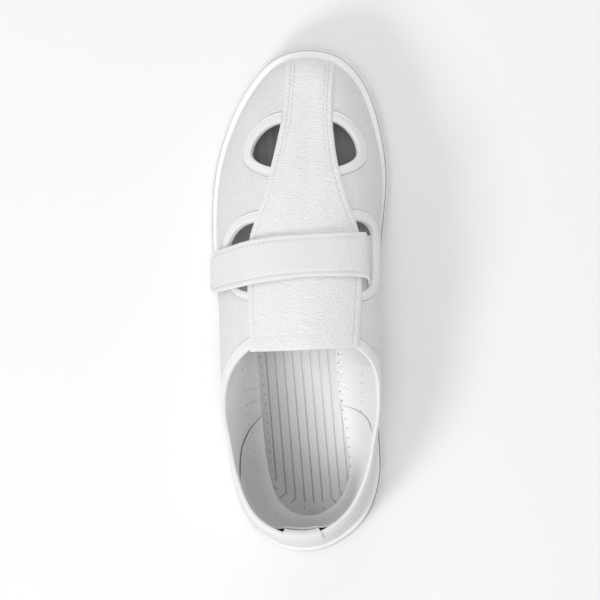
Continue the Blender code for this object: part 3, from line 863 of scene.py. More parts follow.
def groove_lines():
    """Lines of the footbed's grooves: straight runs, turned-out rear ends, outer ticks and middle dots."""
    lines = []
    half = (GROOVES - 1) / 2
    for side in np.arange(-half, half + 1) / half:
        outer = np.array((np.sign(side), 1.0))
        end_y = GROOVE_REAR + GROOVE_ENDS_CURVE * (1.0 - np.sqrt(1.0 - GROOVE_ENDS_ROUND * side ** 2))
        y = np.array((GROOVE_FRONT, end_y))
        x = GROOVE_MIDDLE[0] + side * half * GROOVE_PITCH + GROOVE_LEAN * (y - GROOVE_MIDDLE[1])
        front, end = np.stack((x, y), -1)
        lines.append((front, end))
        if abs(side) > TICKED_FROM:
            start = end + outer * GROOVE_TICK_OFF
            lines.append((start, start + unit(outer * GROOVE_TICK_WAY) * GROOVE_TICK))
        elif abs(side) > BENT_FROM:
            lines.append((end, end + unit(outer * GROOVE_BEND_WAY) * GROOVE_BEND))
        else:
            dot = end + np.array((side, 1.0)) * GROOVE_DOT_OFF
            lines.append((dot, dot + GROOVE_DOT))
    return lines


def groove_depth(x, y):
    """Depth of the footbed's grooves, with a low bead along the medial side of each."""
    here = np.stack((x, y), -1)
    deep, bead = np.zeros(x.shape), np.zeros(x.shape)
    bead_at, bead_wide, bead_high = GROOVE_BEAD
    for start, end in groove_lines():
        off = off_line(here, start, end)[1]
        deep = np.maximum(deep, swell(np.hypot(off[..., 0], off[..., 1]), 0.0, GROOVE_HALF_WIDTH))
        bead = np.maximum(bead, swell(np.hypot(off[..., 0] - bead_at, off[..., 1]), 0.0, bead_wide))
    return GROOVE_DEPTH * (deep - bead_high * bead)


def footbed_z(x, y):
    """Height of the insole's grooved top."""
    lateral, medial, flat = (np.interp(y, INSOLE_RUN[0], column) for column in INSOLE_RUN[1:])
    edge = np.clip(np.minimum(x - lateral, medial - x), 0.0, None)
    return flat - groove_depth(x, y) * smoothstep(0.0, GROOVE_MARGIN, edge)


def insole_pad():
    """Footbed with long grooves, its columns running along them."""
    along, *columns = INSOLE_RUN
    heel = along[0] + (BED_FINE[0] - along[0]) * np.sin(np.radians(np.linspace(4.0, 90.0, 14)))
    fine = np.arange(*BED_FINE, BED_STEP)
    toe = BED_FRONT + (along[-1] - BED_FRONT) * np.sin(np.radians(np.linspace(0.0, 86.0, 40)))
    y = np.concatenate((heel[:-1], fine, np.linspace(BED_FINE[1], BED_FRONT, 50), toe[1:]))[:, None]
    left, right, top = (np.interp(y, along, column) for column in columns)
    middle = GROOVE_MIDDLE[0] + GROOVE_LEAN * (y - GROOVE_MIDDLE[1])
    middle = np.clip(middle, *(left + share * (right - left) for share in BED_MIDDLE))
    fit = np.minimum(BED_CORE, BED_CORE_SHARE * np.minimum(middle - left, right - middle))
    core = middle + fit * np.linspace(-1.0, 1.0, 281)
    edge = np.linspace(0.0, 1.0, 13)[:-1]
    rims = [end + (inner - end) * edge for end, inner in ((left, core[:, :1]), (right, core[:, -1:]))]
    x = np.concatenate((rims[0], core, rims[1][:, ::-1]), 1)
    far = np.broadcast_to(y, x.shape)
    crown = np.stack((x, far, footbed_z(x, far)), -1)
    foot = crown[:, ::19].copy()
    foot[:, :, 2] = top - INSOLE_THICK
    ring = np.concatenate((foot[:, ::-1], crown, foot[:, -1:]), 1)
    piece = draped("insole_pad", ring[:, ::-1], (FOOTBED,), closed=True)
    dress_smooth(piece, "insole", "insole")
    return piece


EYE_TAPE_ROOM = 0.8
COLLAR_LEAN = (1.2 * MM, 56.0, 66.0)
COLLAR_LEAN_FROM = 0.55
COLLAR_SKIVE = (1.0 * MM, 7.0 * MM, 0.34)
SKIRT_ROWS = (SKIRT, -13.0, -6.5)


def collar_lean(turn):
    """How far the collar's edge leans in round the heel."""
    return COLLAR_LEAN[0] * (1.0 - smoothstep(*COLLAR_LEAN[1:], np.abs(turn)))


def eye_curve(eye, steps=44):
    """Plan curve of an eye from its front corner over its reach to its rear corner."""
    side = -1.0 if eye["name"].endswith("lateral") else 1.0
    angle = np.radians(np.linspace(0.0, 180.0, 2 * steps + 1))
    reach = eye["reach_x"] + side * EYE_TAPE_ROOM - eye["root_x"]
    end = np.where(angle <= pi / 2, eye["front_y"] + EYE_TAPE_ROOM, eye["rear_y"] - EYE_TAPE_ROOM)
    x = eye["root_x"] + reach * np.clip(np.sin(angle), 0.0, 1.0) ** (2 / eye["power"])
    y = eye["reach_y"] + (end - eye["reach_y"]) * np.abs(np.cos(angle)) ** (2 / eye["power"])
    return x * MM, y * MM


def upper_shell():
    """Hollow upper over the last, leather outside and lining inside, open at the collar and the eyes."""
    turn = round_columns()
    share = np.linspace(0.0, 1.0, 47)
    climb = share[None, :] * collar_rise(turn)[:, None]
    skirt = np.broadcast_to(SKIRT_ROWS, (len(turn), len(SKIRT_ROWS)))
    lean = np.concatenate((np.zeros(len(SKIRT_ROWS)), smoothstep(COLLAR_LEAN_FROM, 1.0, share)))
    places = raised(turn[:, None], np.concatenate((skirt, climb), 1), -collar_lean(turn)[:, None] * lean)
    piece = draped("upper_shell", places, (SHADED_LEATHER, LINING))
    rim = places[np.abs(turn) <= COLLAR_FRONT[1], -1]
    skive = piece.vertex_groups.new(name="skive")
    for corner in piece.data.vertices:
        gap = np.linalg.norm(rim - np.array(corner.co), axis=1).min()
        skive.add([corner.index], float(smoothstep(*COLLAR_SKIVE[:2], gap)), 'REPLACE')
    apply(piece, 'SOLIDIFY', thickness=WALL, offset=-1.0, use_even_offset=True, material_offset=1,
          vertex_group=skive.name, thickness_vertex_group=COLLAR_SKIVE[2])
    for eye in EYES:
        cut(piece, prism("eye_cutter", *eye_curve(eye), eye["low_z"] * MM, CUT_TOP))
    return dress_smooth(piece, "upper", "upper")


def strip_edge(y):
    """Lateral and medial edges of the vamp strip at places along it."""
    table = np.array(STRIP_EDGES) * MM
    fine = np.linspace(0.0, len(table) - 1.0, 400)
    along, lateral, medial = (through(table[:, i], fine)[::-1] for i in range(3))
    return np.interp(y, along, lateral), np.interp(y, along, medial)


STRIP_BASE = 0.1 * MM
STRIP_ROLL = 0.8 * MM
STRIP_SEAM = 3.2 * MM
STRIP_SECOND_SEAM = 5.1 * MM
STRIP_SECOND_FROM = 76 * MM
HEM_WIDE = 8.0 * MM
TOE_EASE = (6.9 * MM, 108 * MM)
TOE_TUCK = 1.8 * MM
FLAP_SLANT = 2.4 * MM
STRIP_FACE = 1.15 * MM
STRIP_PUFF = (0.1 * MM, 1.9 * MM, 1.0 * MM)
STRIP_TROUGH = (0.22 * MM, 0.42 * MM)
STRIP_SECOND_TROUGH = (0.15 * MM, 0.4 * MM)
STRIP_SECOND_FADE = 3 * MM
HEM_STEP = (0.2 * MM, HEM_WIDE - 2.4 * MM, HEM_WIDE + 0.4 * MM)
HEM_TROUGH = (0.05 * MM, HEM_WIDE + 0.5 * MM, 0.6 * MM)
HEM_ROLL = 1.1 * MM
TOE_TUCK_LOW = 0.1
TOE_EASE_REACH = (6 * MM, 26 * MM)
TOE_EASE_PASSES = 60
FLAP_ROOM = 0.8 * MM
EDGE_STEPS = np.array((
    0, 0.06, 0.2, 0.42, 0.8, 1.4, 2.0, 2.5, 2.85, 3.2, 3.55, 3.9, 4.4, 4.75, 5.1, 5.45, 5.9, 7.0)) * MM
REAR_STEPS = np.array((
    0.0, 0.08, 0.25, 0.5, 0.8, 1.2, 2.0, 3.5, 5.5, 6.8, 7.4, 7.9, 8.3, 8.6, 9.2, 10.0)) * MM


def strip_height(inset, y, behind, ahead):
    """Height of the strip's face: rolled edge, puffed margin, seam troughs, hem and the tuck at the toe."""
    second = smoothstep(STRIP_SECOND_FROM - STRIP_SECOND_FADE, STRIP_SECOND_FROM + STRIP_SECOND_FADE, y)
    face = STRIP_FACE + STRIP_PUFF[0] * swell(inset, *STRIP_PUFF[1:])
    face -= STRIP_TROUGH[0] * swell(inset, STRIP_SEAM, STRIP_TROUGH[1])
    face -= STRIP_SECOND_TROUGH[0] * swell(inset, STRIP_SECOND_SEAM, STRIP_SECOND_TROUGH[1]) * second
    face += HEM_STEP[0] * (1.0 - smoothstep(*HEM_STEP[1:], behind))
    face -= HEM_TROUGH[0] * swell(behind, *HEM_TROUGH[1:])
    edge = rounded_edge(inset, STRIP_ROLL) * rounded_edge(behind, HEM_ROLL)
    tuck = TOE_TUCK_LOW + (1.0 - TOE_TUCK_LOW) * smoothstep(0.0, TOE_TUCK, ahead)
    return STRIP_BASE + (face - STRIP_BASE) * edge * tuck


def eased_toe(base, up, x, y):
    """The strip's ground and normals with the end of the ridge line eased over the toe."""
    share = 1.0 - smoothstep(*TOE_EASE_REACH, np.hypot(x - TOE_EASE[0], y - TOE_EASE[1]))
    for _ in range(TOE_EASE_PASSES):
        for field in (base, up):
            soft = field.copy()
            soft[1:-1] = (field[:-2] + 2 * field[1:-1] + field[2:]) / 4
            soft[:, 1:-1] = (soft[:, :-2] + 2 * soft[:, 1:-1] + soft[:, 2:]) / 4
            field += (soft - field) * share[..., None]
    return base, unit(up)


def vamp_strip_skin():
    """Centre strip from toe to throat with rolled edges and seams, its rear end hemmed as the flap."""
    toe = np.linspace(155.0, 205.0, 201)
    lip = surface(-toe, np.full_like(toe, 2.0))
    share = 1.0 - (1.0 - np.linspace(0.0, 1.0, 150)[1:]) ** 1.35
    inner = np.linspace(0.0, 1.0, 17)[1:-1]
    count = len(EDGE_STEPS)
    weights = np.concatenate((np.zeros(count), inner, np.ones(count)))
    from_left = np.concatenate((EDGE_STEPS, EDGE_STEPS[-1] * (1.0 - 2.0 * inner), -EDGE_STEPS[::-1]))

    def station(y, end_share=0.0, behind=None):
        for _ in range(3):
            lateral, medial = strip_edge(y)
            x = lateral + (medial - lateral) * weights + from_left
            y_rear = FLAP_REAR - FLAP_ROOM + FLAP_SLANT * (x - lateral) / (medial - lateral)
            y_front = np.interp(x, lip[:, 0], lip[:, 1])
            start = y_rear + REAR_STEPS[-1]
            y = start + (y_front - start) * end_share if behind is None else y_rear + behind
        return x, y, np.minimum(x - lateral, medial - x), y - y_rear, y_front - y

    rows = [station(np.full_like(weights, FLAP_REAR), behind=back) for back in REAR_STEPS]
    rows += [station(np.full_like(weights, 50 * MM), end_share=s) for s in share]
    x, y, inset, behind, ahead = np.stack(rows, 1)
    turn, across = locate(x, y)
    base, up = eased_toe(surface(-turn, across), outward(-turn, across), x, y)
    face = base + up * strip_height(inset, y, behind, ahead)[..., None]
    under_at = np.linspace(0, x.shape[1] - 1, 9).round().astype(int)
    under = (base + up * STRIP_BASE)[:, under_at]
    ring = np.concatenate((face, under[:, ::-1]), 1)
    piece = draped("vamp_strip_skin", ring, (LIT_STRIP_LEATHER,), closed=True)
    return dress_smooth(piece, "vamp_strip", "vamp_strip")


# Sections of the folded tapes in millimetres: down from the edge and out from the upper's face
EYE_TAPE = (
    (-0.9, -1.3), (-0.9, -0.1), (-0.72, 0.42), (-0.25, 0.66), (0.8, 0.78), (1.9, 0.74), (2.9, 0.58),
    (3.5, 0.4), (3.75, 0.46), (4.0, 0.68), (4.3, 0.7), (4.55, 0.4), (4.95, 0.18), (4.9, 0.06), (2.8, 0.06),
    (0.4, 0.06), (-0.2, 0.02), (-0.25, -1.85), (0.6, -1.9), (2.6, -1.9), (2.7, -2.2), (0.6, -2.5),
    (-0.5, -2.4), (-0.82, -2.0))
COLLAR_TAPE = (
    (-0.72, -1.1), (-0.78, -0.4), (-0.72, 0.15), (-0.4, 0.5), (0.2, 0.64), (1.0, 0.72), (2.4, 0.7),
    (3.3, 0.62), (3.7, 0.5), (3.9, 0.62), (4.2, 0.74), (4.5, 0.6), (4.62, 0.3), (5.05, 0.16), (5.0, 0.05),
    (2.0, 0.05), (0.0, 0.05), (-0.25, -0.05), (-0.25, -0.6), (0.2, -0.72), (2.6, -0.72), (4.0, -0.72),
    (4.1, -0.95), (3.4, -1.15), (2.0, -1.25), (0.4, -1.3), (-0.4, -1.32), (-0.62, -1.26))
HEEL_TAPE = (
    (-2.1, -1.2), (-2.0, 0.0), (-1.5, 0.9), (-0.7, 1.45), (0.4, 1.75), (2.4, 1.85), (4.6, 1.8), (5.7, 1.6),
    (6.0, 1.3), (5.8, 1.0), (3.0, 0.95), (0.2, 0.95), (-0.9, 0.4), (-1.3, -1.0), (-0.9, -2.4), (0.2, -2.9),
    (5.0, -3.1), (8.0, -3.3), (8.1, -3.8), (6.0, -4.0), (2.0, -3.9), (0.0, -3.7), (-1.3, -3.1), (-1.9, -2.2))
COLLAR_TAPE_ENDS = (-79.2, 79.2)
HEEL_TAPE_ENDS = (-11.2, 13.0)
# Rows of each tape along its outer edge, where a painted shade line runs for the gap under the edge
COLLAR_TAPE_EDGE = range(23, 28)
EYE_TAPE_EDGE = range(21, 26)
HEEL_TAPE_EDGE = range(14, 18)
EYE_TAPE_WIDE = (1.14, 0.88)
EYE_TAPE_NARROW = {"rear_lateral": 0.34, "rear_medial": 0.14}
STRIP_CUT = (-30 * MM, 140 * MM, 20 * MM)


def section_loop(section, steps=2):
    """A closed section resampled as a smooth loop of (down, out) in metres."""
    points = np.array(section) * MM
    around = [np.roll(points, k, 0) for k in (1, 0, -1, -2)]
    loop = np.stack([spline(*around, u) for u in np.arange(steps) / steps], 1).reshape(-1, 2)
    return np.concatenate((loop, loop[:1]))


def shifted(turn, rise, side, down):
    """Turns and rises a distance down from an edge, on the side given."""
    along, up = slopes(turn, rise)
    run = np.gradient(surface(turn, rise), axis=0)
    away = unit(np.cross(run, outward(turn, rise))) * side
    aa, bb, ab = (along * along).sum(-1), (up * up).sum(-1), (along * up).sum(-1)
    size = aa * bb - ab * ab
    a = ((away * along).sum(-1) * bb - (away * up).sum(-1) * ab) / size
    b = ((away * up).sum(-1) * aa - (away * along).sum(-1) * ab) / size
    return turn[:, None] + a[:, None] * down, rise[:, None] + b[:, None] * down


def swept_tape(name, turn, rise, side, section, finishes, marked, widen=1.0, lean=0.0):
    """Tape folded over an edge, its section carried along turns and rises."""
    loop = section_loop(section)
    widen, lean = (np.broadcast_to(value, turn.shape)[:, None] for value in (widen, lean))
    down = np.where(loop[:, 0] > 0, loop[:, 0] * widen, loop[:, 0])
    t, r = shifted(turn, rise, side, down)
    return draped(name, raised(t, r, loop[:, 1] - lean), finishes, closed=True, marked=list(marked))


def eye_tapes():
    """Folded tape round each eye with a fine bead along its outer edge, cut off at the strip."""
    y = np.linspace(*STRIP_CUT[:2], 171)
    lateral, medial = strip_edge(y)
    outline_x = np.concatenate((lateral, medial[::-1]))
    outline_y = np.concatenate((y, y[::-1]))
    share = np.linspace(0.0, 1.0, 91)
    widen = EYE_TAPE_WIDE[0] + (EYE_TAPE_WIDE[1] - EYE_TAPE_WIDE[0]) * share
    for eye in EYES:
        name = eye["name"]
        curve = np.stack(eye_curve(eye), -1)
        far = lengths(curve)
        turn, across = locate(*at_lengths(curve, far, share * far[-1]).T)
        side = 1.0 if name.endswith("lateral") else -1.0
        narrow = 1.0 - EYE_TAPE_NARROW.get(name, 0.0) * np.sin(pi * share)
        piece = swept_tape("eye_tape_" + name, -turn, across, side, EYE_TAPE, (TAPE, TAPE_EDGE_SHADE),
                           EYE_TAPE_EDGE, widen * narrow)
        cut(piece, prism("strip_outline", outline_x, outline_y, STRIP_CUT[2], CUT_TOP))
        dress_smooth(piece, "binding", "eye_binding_" + name)


def edge_tape(name, ends, step, section, finishes, marked):
    """Tape folded over the collar's edge between two turns."""
    turn = np.linspace(*ends, int((ends[1] - ends[0]) / step) + 1)
    return swept_tape(name, turn, collar_rise(turn), 1.0, section, finishes, marked, lean=collar_lean(turn))


def collar_tape():
    """Folded tape round the collar from one side of the flap to the other."""
    piece = edge_tape("collar_tape", COLLAR_TAPE_ENDS, 0.5, COLLAR_TAPE, (TAPE, TAPE_EDGE_SHADE), COLLAR_TAPE_EDGE)
    return dress_smooth(piece, "binding", "collar_binding")


def heel_pull():
    """Woven pull tab folded over the collar at the heel."""
    piece = edge_tape("heel_pull", HEEL_TAPE_ENDS, 0.35, HEEL_TAPE, (TAB_TAPE, TAPE_EDGE_SHADE), HEEL_TAPE_EDGE)
    return dress_smooth(piece, "heel_tab", "heel_tab")


COUNTER_THICK = 1.2 * MM
COUNTER_ROLL = 0.012
COUNTER_BASE = (0.55 * MM, 0.4 * MM)
COUNTER_TAPER = (0.84, 0.97)
COUNTER_THINNED = 0.95
# The last rim rows and a flat flange past the edge take painted shade
COUNTER_RIM_ROWS = 2
COUNTER_FLANGE = (0.008, 0.001, 0.1 * MM)
COUNTER_THIN_MEDIAL = (30.0, 58.0, 0.6)
HEEL_FOLD = (-20.0, -9.0, 10.0, 22.0)
HEEL_FOLD_REACH = (0.4, 0.95, 2.7 * MM)
# Painted shade on the counter's rim stops behind this place along the shoe
RIM_SHADE_REAR_END = -108 * MM
# Footbed's visible edge: turn, and millimetres in from the sole's lip
FOOTBED_EDGE = (
    (-180.0, 13.5), (-75.0, 13.5), (-60.0, 14.6), (-45.0, 15.6), (-30.0, 16.2), (-20.0, 16.2), (4.0, 15.6),
    (14.0, 14.5), (23.0, 13.9), (32.0, 13.7), (38.0, 13.1), (45.0, 12.6), (50.0, 12.9), (56.0, 13.9),
    (61.0, 15.1), (65.0, 17.2), (71.0, 17.8), (77.0, 18.6), (180.0, 19.2))
BOWL_INSET = 7 * MM
BOWL_STANDOFF = 3 * MM
BOWL_RISE = 0.45
BOWL_TOP = (1.2, 0.95 * MM)
LINING_GAP = 0.5 * MM
LINING_SET = 0.4 * MM
LINING_THICK = 0.5 * MM
LINING_FADE = (86.0, 126.0)
LINING_DROP = (76.0, 88.0, 15.0)
# Front and top edge of the counter on each side: turn, and share of the way from footbed to collar
COUNTER_EDGE_LATERAL = (
    (0.0, 0.975), (10.0, 0.975), (18.0, 0.99), (30.0, 0.95), (43.5, 0.95), (46.5, 0.9), (49.5, 0.81),
    (53.0, 0.71), (55.5, 0.61), (57.0, 0.51), (59.0, 0.36), (60.5, 0.18), (62.0, 0.0))
COUNTER_EDGE_MEDIAL = (
    (0.0, 0.975), (12.0, 0.975), (20.0, 0.99), (57.5, 0.985), (61.0, 0.87), (63.0, 0.73), (64.0, 0.58),
    (64.8, 0.38), (65.5, 0.12), (65.8, 0.0))
# Creases of the lining: turn and share of both ends, and depth in millimetres
LINING_CREASES = (
    (-69.0, 0.42, -69.5, 0.04, 0.9),
    (-65.5, 0.38, -66.5, 0.0, 1.0),
    (77.6, 0.02, 78.1, 0.12, 0.45),
    (76.4, 0.02, 76.9, 0.11, 0.4),
    (74.9, 0.02, 75.4, 0.1, 0.45),
    (73.0, 0.02, 73.5, 0.1, 0.4),
    (71.0, 0.02, 69.8, 0.26, 0.4),
    (69.3, 0.02, 68.2, 0.13, 0.35),
    (67.0, 0.02, 67.6, 0.08, 0.4),
)
CREASE_HALF_WIDTH = 0.65 * MM
LINING_DEGREE = 2.2 * MM
LINING_SHARE = 45 * MM


def footbed_inset(turn):
    """How far the footbed's visible edge lies in from the upper's foot."""
    places, insets = np.array(FOOTBED_EDGE).T
    steps = (-6.0, -3.0, 0.0, 3.0, 6.0)
    return sum(np.interp(turn + step, places, insets) for step in steps) / len(steps) * MM


def lining(turn, share):
    """Points on the bowl of the lining, from the footbed's edge at share 0 up to the collar at share 1."""
    turn, share = np.broadcast_arrays(np.asarray(turn, float), np.asarray(share, float))
    size = np.abs(turn)
    top = collar_rise(np.copysign(np.minimum(size, LINING_DROP[0]), turn))
    top = top + (LINING_DROP[2] - top) * smoothstep(LINING_DROP[0], LINING_DROP[1], size)
    keep = 1.0 - smoothstep(*LINING_FADE, size)
    low_z = last("floor_z", turn) + GAP + INSOLE_THICK + LINING_GAP
    base = last("lip", turn) + WALL + GAP
    near = plan(turn, -base - (footbed_inset(turn) - WALL - GAP) * keep)
    far = plan(turn, -base - (BOWL_INSET - WALL - GAP) * keep)
    bowl = (
        at_height(near, low_z - LINING_SET),
        at_height(far, low_z + LINING_GAP),
        raised(turn, top * BOWL_RISE, -WALL - LINING_GAP - (BOWL_STANDOFF - LINING_GAP) * keep),
        raised(turn, top - BOWL_TOP[0], -BOWL_TOP[1] - collar_lean(turn)))
    rest = 1.0 - share
    weights = (rest ** 3, 3 * rest ** 2 * share, 3 * rest * share ** 2, share ** 3)
    return sum(point * weight[..., None] for point, weight in zip(bowl, weights))


def lining_normal(turn, share):
    """Direction from the lining into the shoe."""
    along = lining(turn + 0.3, share) - lining(turn - 0.3, share)
    up = lining(turn, share + 0.01) - lining(turn, share - 0.01)
    return -unit(np.cross(along, up))


def on_lining(turn, share, lift):
    """Points a height over the lining, into the shoe."""
    return lining(turn, share) + lining_normal(turn, share) * lift[..., None]


def crease_depth(turn, share):
    """Depth of the few soft creases in the lining."""
    scale = np.array((LINING_DEGREE, LINING_SHARE))
    here = np.stack((turn, share), -1) * scale
    deep = np.zeros(turn.shape)
    for *ends, depth in LINING_CREASES:
        along, off = off_line(here, ends[:2] * scale, ends[2:] * scale)
        fade = np.sin(pi * (0.1 + 0.8 * along))
        deep += depth * MM * fade * swell(np.linalg.norm(off, axis=-1), 0.0, CREASE_HALF_WIDTH)
    return deep


def sock_lining():
    """Lining from the footbed's edge up inside the upper to the collar."""
    back = np.linspace(-62.0, 62.0, 125)
    front = np.linspace(62.0, 79.0, 103)
    toe = np.linspace(79.0, 124.0, 46)
    turn = np.concatenate((-toe[:0:-1], -front[::-1], back[1:-1], front, toe[1:]))
    turn, share = np.meshgrid(turn, np.linspace(0.0, 1.0, 49), indexing="ij")
    piece = draped("sock_lining", on_lining(turn, share, -crease_depth(turn, share)), (LINING,))
    apply(piece, 'SOLIDIFY', thickness=LINING_THICK, offset=-1.0, use_even_offset=True)
    return dress_smooth(piece, "upper")


def counter_top(turn):
    """Share of the way up to the counter's front and top edge."""
    tables = (np.array(table).T for table in (COUNTER_EDGE_LATERAL, COUNTER_EDGE_MEDIAL))
    lateral, medial = (np.interp(np.abs(turn), *table) for table in tables)
    return np.where(turn < 0, lateral, medial)


def counter_lift(turn, share):
    """Height of the counter's back over the lining and its thickness, less at the collar and medial end."""
    fold = plateau(*HEEL_FOLD, turn)
    thin = smoothstep(*COUNTER_TAPER, share) * (1.0 - fold)
    medial = 1.0 - COUNTER_THIN_MEDIAL[2] * smoothstep(*COUNTER_THIN_MEDIAL[:2], turn)
    low = COUNTER_BASE[0] - COUNTER_BASE[1] * thin
    low = low + HEEL_FOLD_REACH[2] * fold * smoothstep(*HEEL_FOLD_REACH[:2], share)
    return low, COUNTER_THICK * (1.0 - COUNTER_THINNED * thin) * medial


def counter_patch():
    """Lining patch that cups the heel, with a soft rolled edge; its rim and a flat flange past it carry
    painted shade for the gap under the edge, except round the back of the heel.
    """
    ends = (COUNTER_EDGE_LATERAL[-1][0], COUNTER_EDGE_MEDIAL[-1][0])
    bow = np.sin(np.radians(np.linspace(0.0, 90.0, 71)))
    turn = np.concatenate((-ends[0] * bow[::-1], ends[1] * bow[1:]))
    top = counter_top(turn)
    kernel = np.array((1, 2, 3, 2, 1)) / 9.0
    top[3:-3] = np.convolve(top, kernel, mode="same")[3:-3]
    share = np.concatenate((np.linspace(0.0, 0.95, 30), (0.97, 0.98, 0.99, 0.996, 1.0)))
    v = top[:, None] * share
    at = np.broadcast_to(turn[:, None], v.shape)
    low, thick = counter_lift(at, v)
    face = on_lining(at, v, low + thick * rounded_edge(top[:, None] - v, COUNTER_ROLL))
    past = top + np.where(turn < 0, COUNTER_FLANGE[0], COUNTER_FLANGE[1])
    flange = on_lining(turn, past, counter_lift(turn, top)[0] + COUNTER_FLANGE[2])
    back = on_lining(at, v, low)[:, ::4]
    ring = np.concatenate((face, flange[:, None], back[:, ::-1], face[:, :1]), 1)
    # The last rim rows and the flange take painted shade
    marked = face.shape[1] - COUNTER_RIM_ROWS + np.arange(COUNTER_RIM_ROWS + 1)
    piece = draped("counter_patch", ring, (COUNTER_CLOTH, COUNTER_RIM_SHADE), closed=True, marked=marked)
    # Round the back of the heel the rim keeps the cloth, without painted shade
    for polygon in piece.data.polygons:
        if polygon.center.y < RIM_SHADE_REAR_END:
            polygon.material_index = 0
    return dress_smooth(piece, "heel_counter", "heel_counter")


STRAP_MIDDLE = -99.0
STRAP_THICK = 1.6 * MM
STRAP_CORNER = (9.5 * MM, 6 * MM)
STRAP_EASE = (68.0, 82.0, 98.0, 112.0)
STRAP_EDGE = 0.8 * MM
STRAP_SEAM = 2.7 * MM
RIB_PITCH = 1.6 * MM
RIB_HEIGHT = 0.14 * MM
RIB_ACROSS = (52.0, 66.0, 124.0, 129.0)
RIB_MARGIN = (3.2 * MM, 4.4 * MM)
STRAP_TROUGH = (0.26 * MM, 0.45 * MM)
STRAP_REAR_BEAD = (0.22 * MM, 1.3 * MM, 0.8 * MM)
STRAP_EASE_PASSES = 500
STRAP_TAB_END = 44.0
STRAP_END_STEPS = np.array((0.0, 0.06, 0.2, 0.42, 0.8, 1.4)) * MM
STRAP_STEP = (2.0 * MM, 0.4 * MM)
STRAP_SEWN = 92 * MM
STRAP_SEAM_SUNK = 0.16 * MM
STRAP_RING = np.array((0.0, 0.05, 0.18, 0.4, 0.8, 1.4, 2.0, 2.4, 2.7, 3.0, 3.4, 4.2, 5.5)) * MM


def strap_sizes(across):
    """Gap under the strap and its rear and front turns at places across the foot."""
    table = np.array(STRAP_PATH)
    fine = np.linspace(0.0, len(table) - 1.0, 600)
    place, out, rear, front = (through(table[:, i], fine) for i in range(4))
    place[0], place[-1] = table[0, 0], table[-1, 0]
    return tuple(np.interp(across, place, column) for column in (out * MM, rear, front))


def eased_strap(ground, up, across):
    """Ground and normals under the strap with the ridge line eased out of them."""
    share = plateau(*STRAP_EASE, across)[1:-1, None, None]
    for _ in range(STRAP_EASE_PASSES):
        for field in (ground, up):
            soft = (field[:-2] + 2 * field[1:-1] + field[2:]) / 4
            field[1:-1] += (soft - field[1:-1]) * share
    return ground, unit(up)


STRAP_ACROSS = np.linspace(STRAP_PATH[0][0], STRAP_PATH[-1][0], 1400)
STRAP_FAR = lengths(surface(STRAP_MIDDLE, STRAP_ACROSS))


def strap_at(run):
    """Places across the foot at lengths along the strap, its gap, rear and front turns and width there."""
    across = np.interp(run, STRAP_FAR, STRAP_ACROSS)
    out, rear, front = strap_sizes(across)
    return across, out, rear, front, np.linalg.norm(surface(-rear, across) - surface(-front, across), axis=-1)


def instep_band():
    """Strap from its rounded tab over the instep, ribbed in its elastic middle, down into the medial eye."""
    run = np.concatenate((STRAP_END_STEPS, np.arange(STRAP_STEP[0], STRAP_FAR[-1], STRAP_STEP[1])))
    across, out, rear, front, wide = strap_at(run)
    tip = np.linalg.norm(surface(STRAP_MIDDLE, across[0]) - surface(STRAP_MIDDLE, across), axis=-1)
    left = np.where(across < STRAP_TAB_END, np.clip(1.0 - tip / STRAP_CORNER[0], 0.0, 1.0), 0.0)
    inset = STRAP_CORNER[1] * (1.0 - np.sqrt(1.0 - left ** 2))
    net = (wide - 2 * inset)[:, None]
    mid = np.linspace(0.0, 1.0, 14)[1:-1]
    ring = np.concatenate((
        np.broadcast_to(STRAP_RING, (len(run), len(STRAP_RING))),
        STRAP_RING[-1] + (net - 2 * STRAP_RING[-1]) * mid,
        net - STRAP_RING[::-1]), 1)
    edge = np.minimum(ring, net - ring)
    roll = rounded_edge(edge, STRAP_EDGE) * rounded_edge(run, STRAP_EDGE)[:, None]
    rib = RIB_HEIGHT * plateau(*RIB_ACROSS, across) * (0.5 + 0.5 * np.cos(2 * pi * run / RIB_PITCH))
    face = 0.5 * STRAP_THICK * (1.0 + roll) + rib[:, None] * smoothstep(*RIB_MARGIN, edge)
    face -= STRAP_TROUGH[0] * swell(edge, STRAP_SEAM, STRAP_TROUGH[1])
    face += STRAP_REAR_BEAD[0] * swell(net - ring, *STRAP_REAR_BEAD[1:])
    base = 0.5 * STRAP_THICK * (1.0 - roll)
    final = ring.shape[1] - 1
    ends = np.arange(5)
    keep = np.unique(np.concatenate((ends, np.linspace(0, final, 15).round().astype(int), final - ends)))
    turn = -front[:, None] + (front - rear)[:, None] * (inset[:, None] + ring) / wide[:, None]
    level = np.broadcast_to(across[:, None], turn.shape)
    ground, up = eased_strap(surface(turn, level), outward(turn, level), across)
    top = ground + up * (out[:, None] + face)[..., None]
    under = (ground + up * (out[:, None] + base)[..., None])[:, keep]
    loop = np.concatenate((top, under[:, ::-1]), 1)
    piece = draped("instep_band", loop[:, ::-1], (ELASTIC,), closed=True)
    return dress_smooth(piece, "instep_strap", "instep_strap")


STRIP_SEWN_TO = 127 * MM
STRIP_SEAM_LIFT = 1.0 * MM
FLAP_SEWN_FROM = FLAP_REAR + 1.5 * MM


def strip_sewing():
    """Seams along both edges of the strip, doubled towards the toe."""
    rows = []
    for inset, start in ((STRIP_SEAM, FLAP_SEWN_FROM), (STRIP_SECOND_SEAM, STRIP_SECOND_FROM)):
        y = np.linspace(start, STRIP_SEWN_TO, 240)
        lateral, medial = strip_edge(y)
        for x in (lateral + inset, medial - inset):
            turn, across = locate(x, y)
            rows.append((raised(-turn, across, np.full_like(turn, STRIP_SEAM_LIFT)), outward(-turn, across)))
    return stitches("strip_sewing", rows, "vamp_strip", NEEDLE_HOLE)


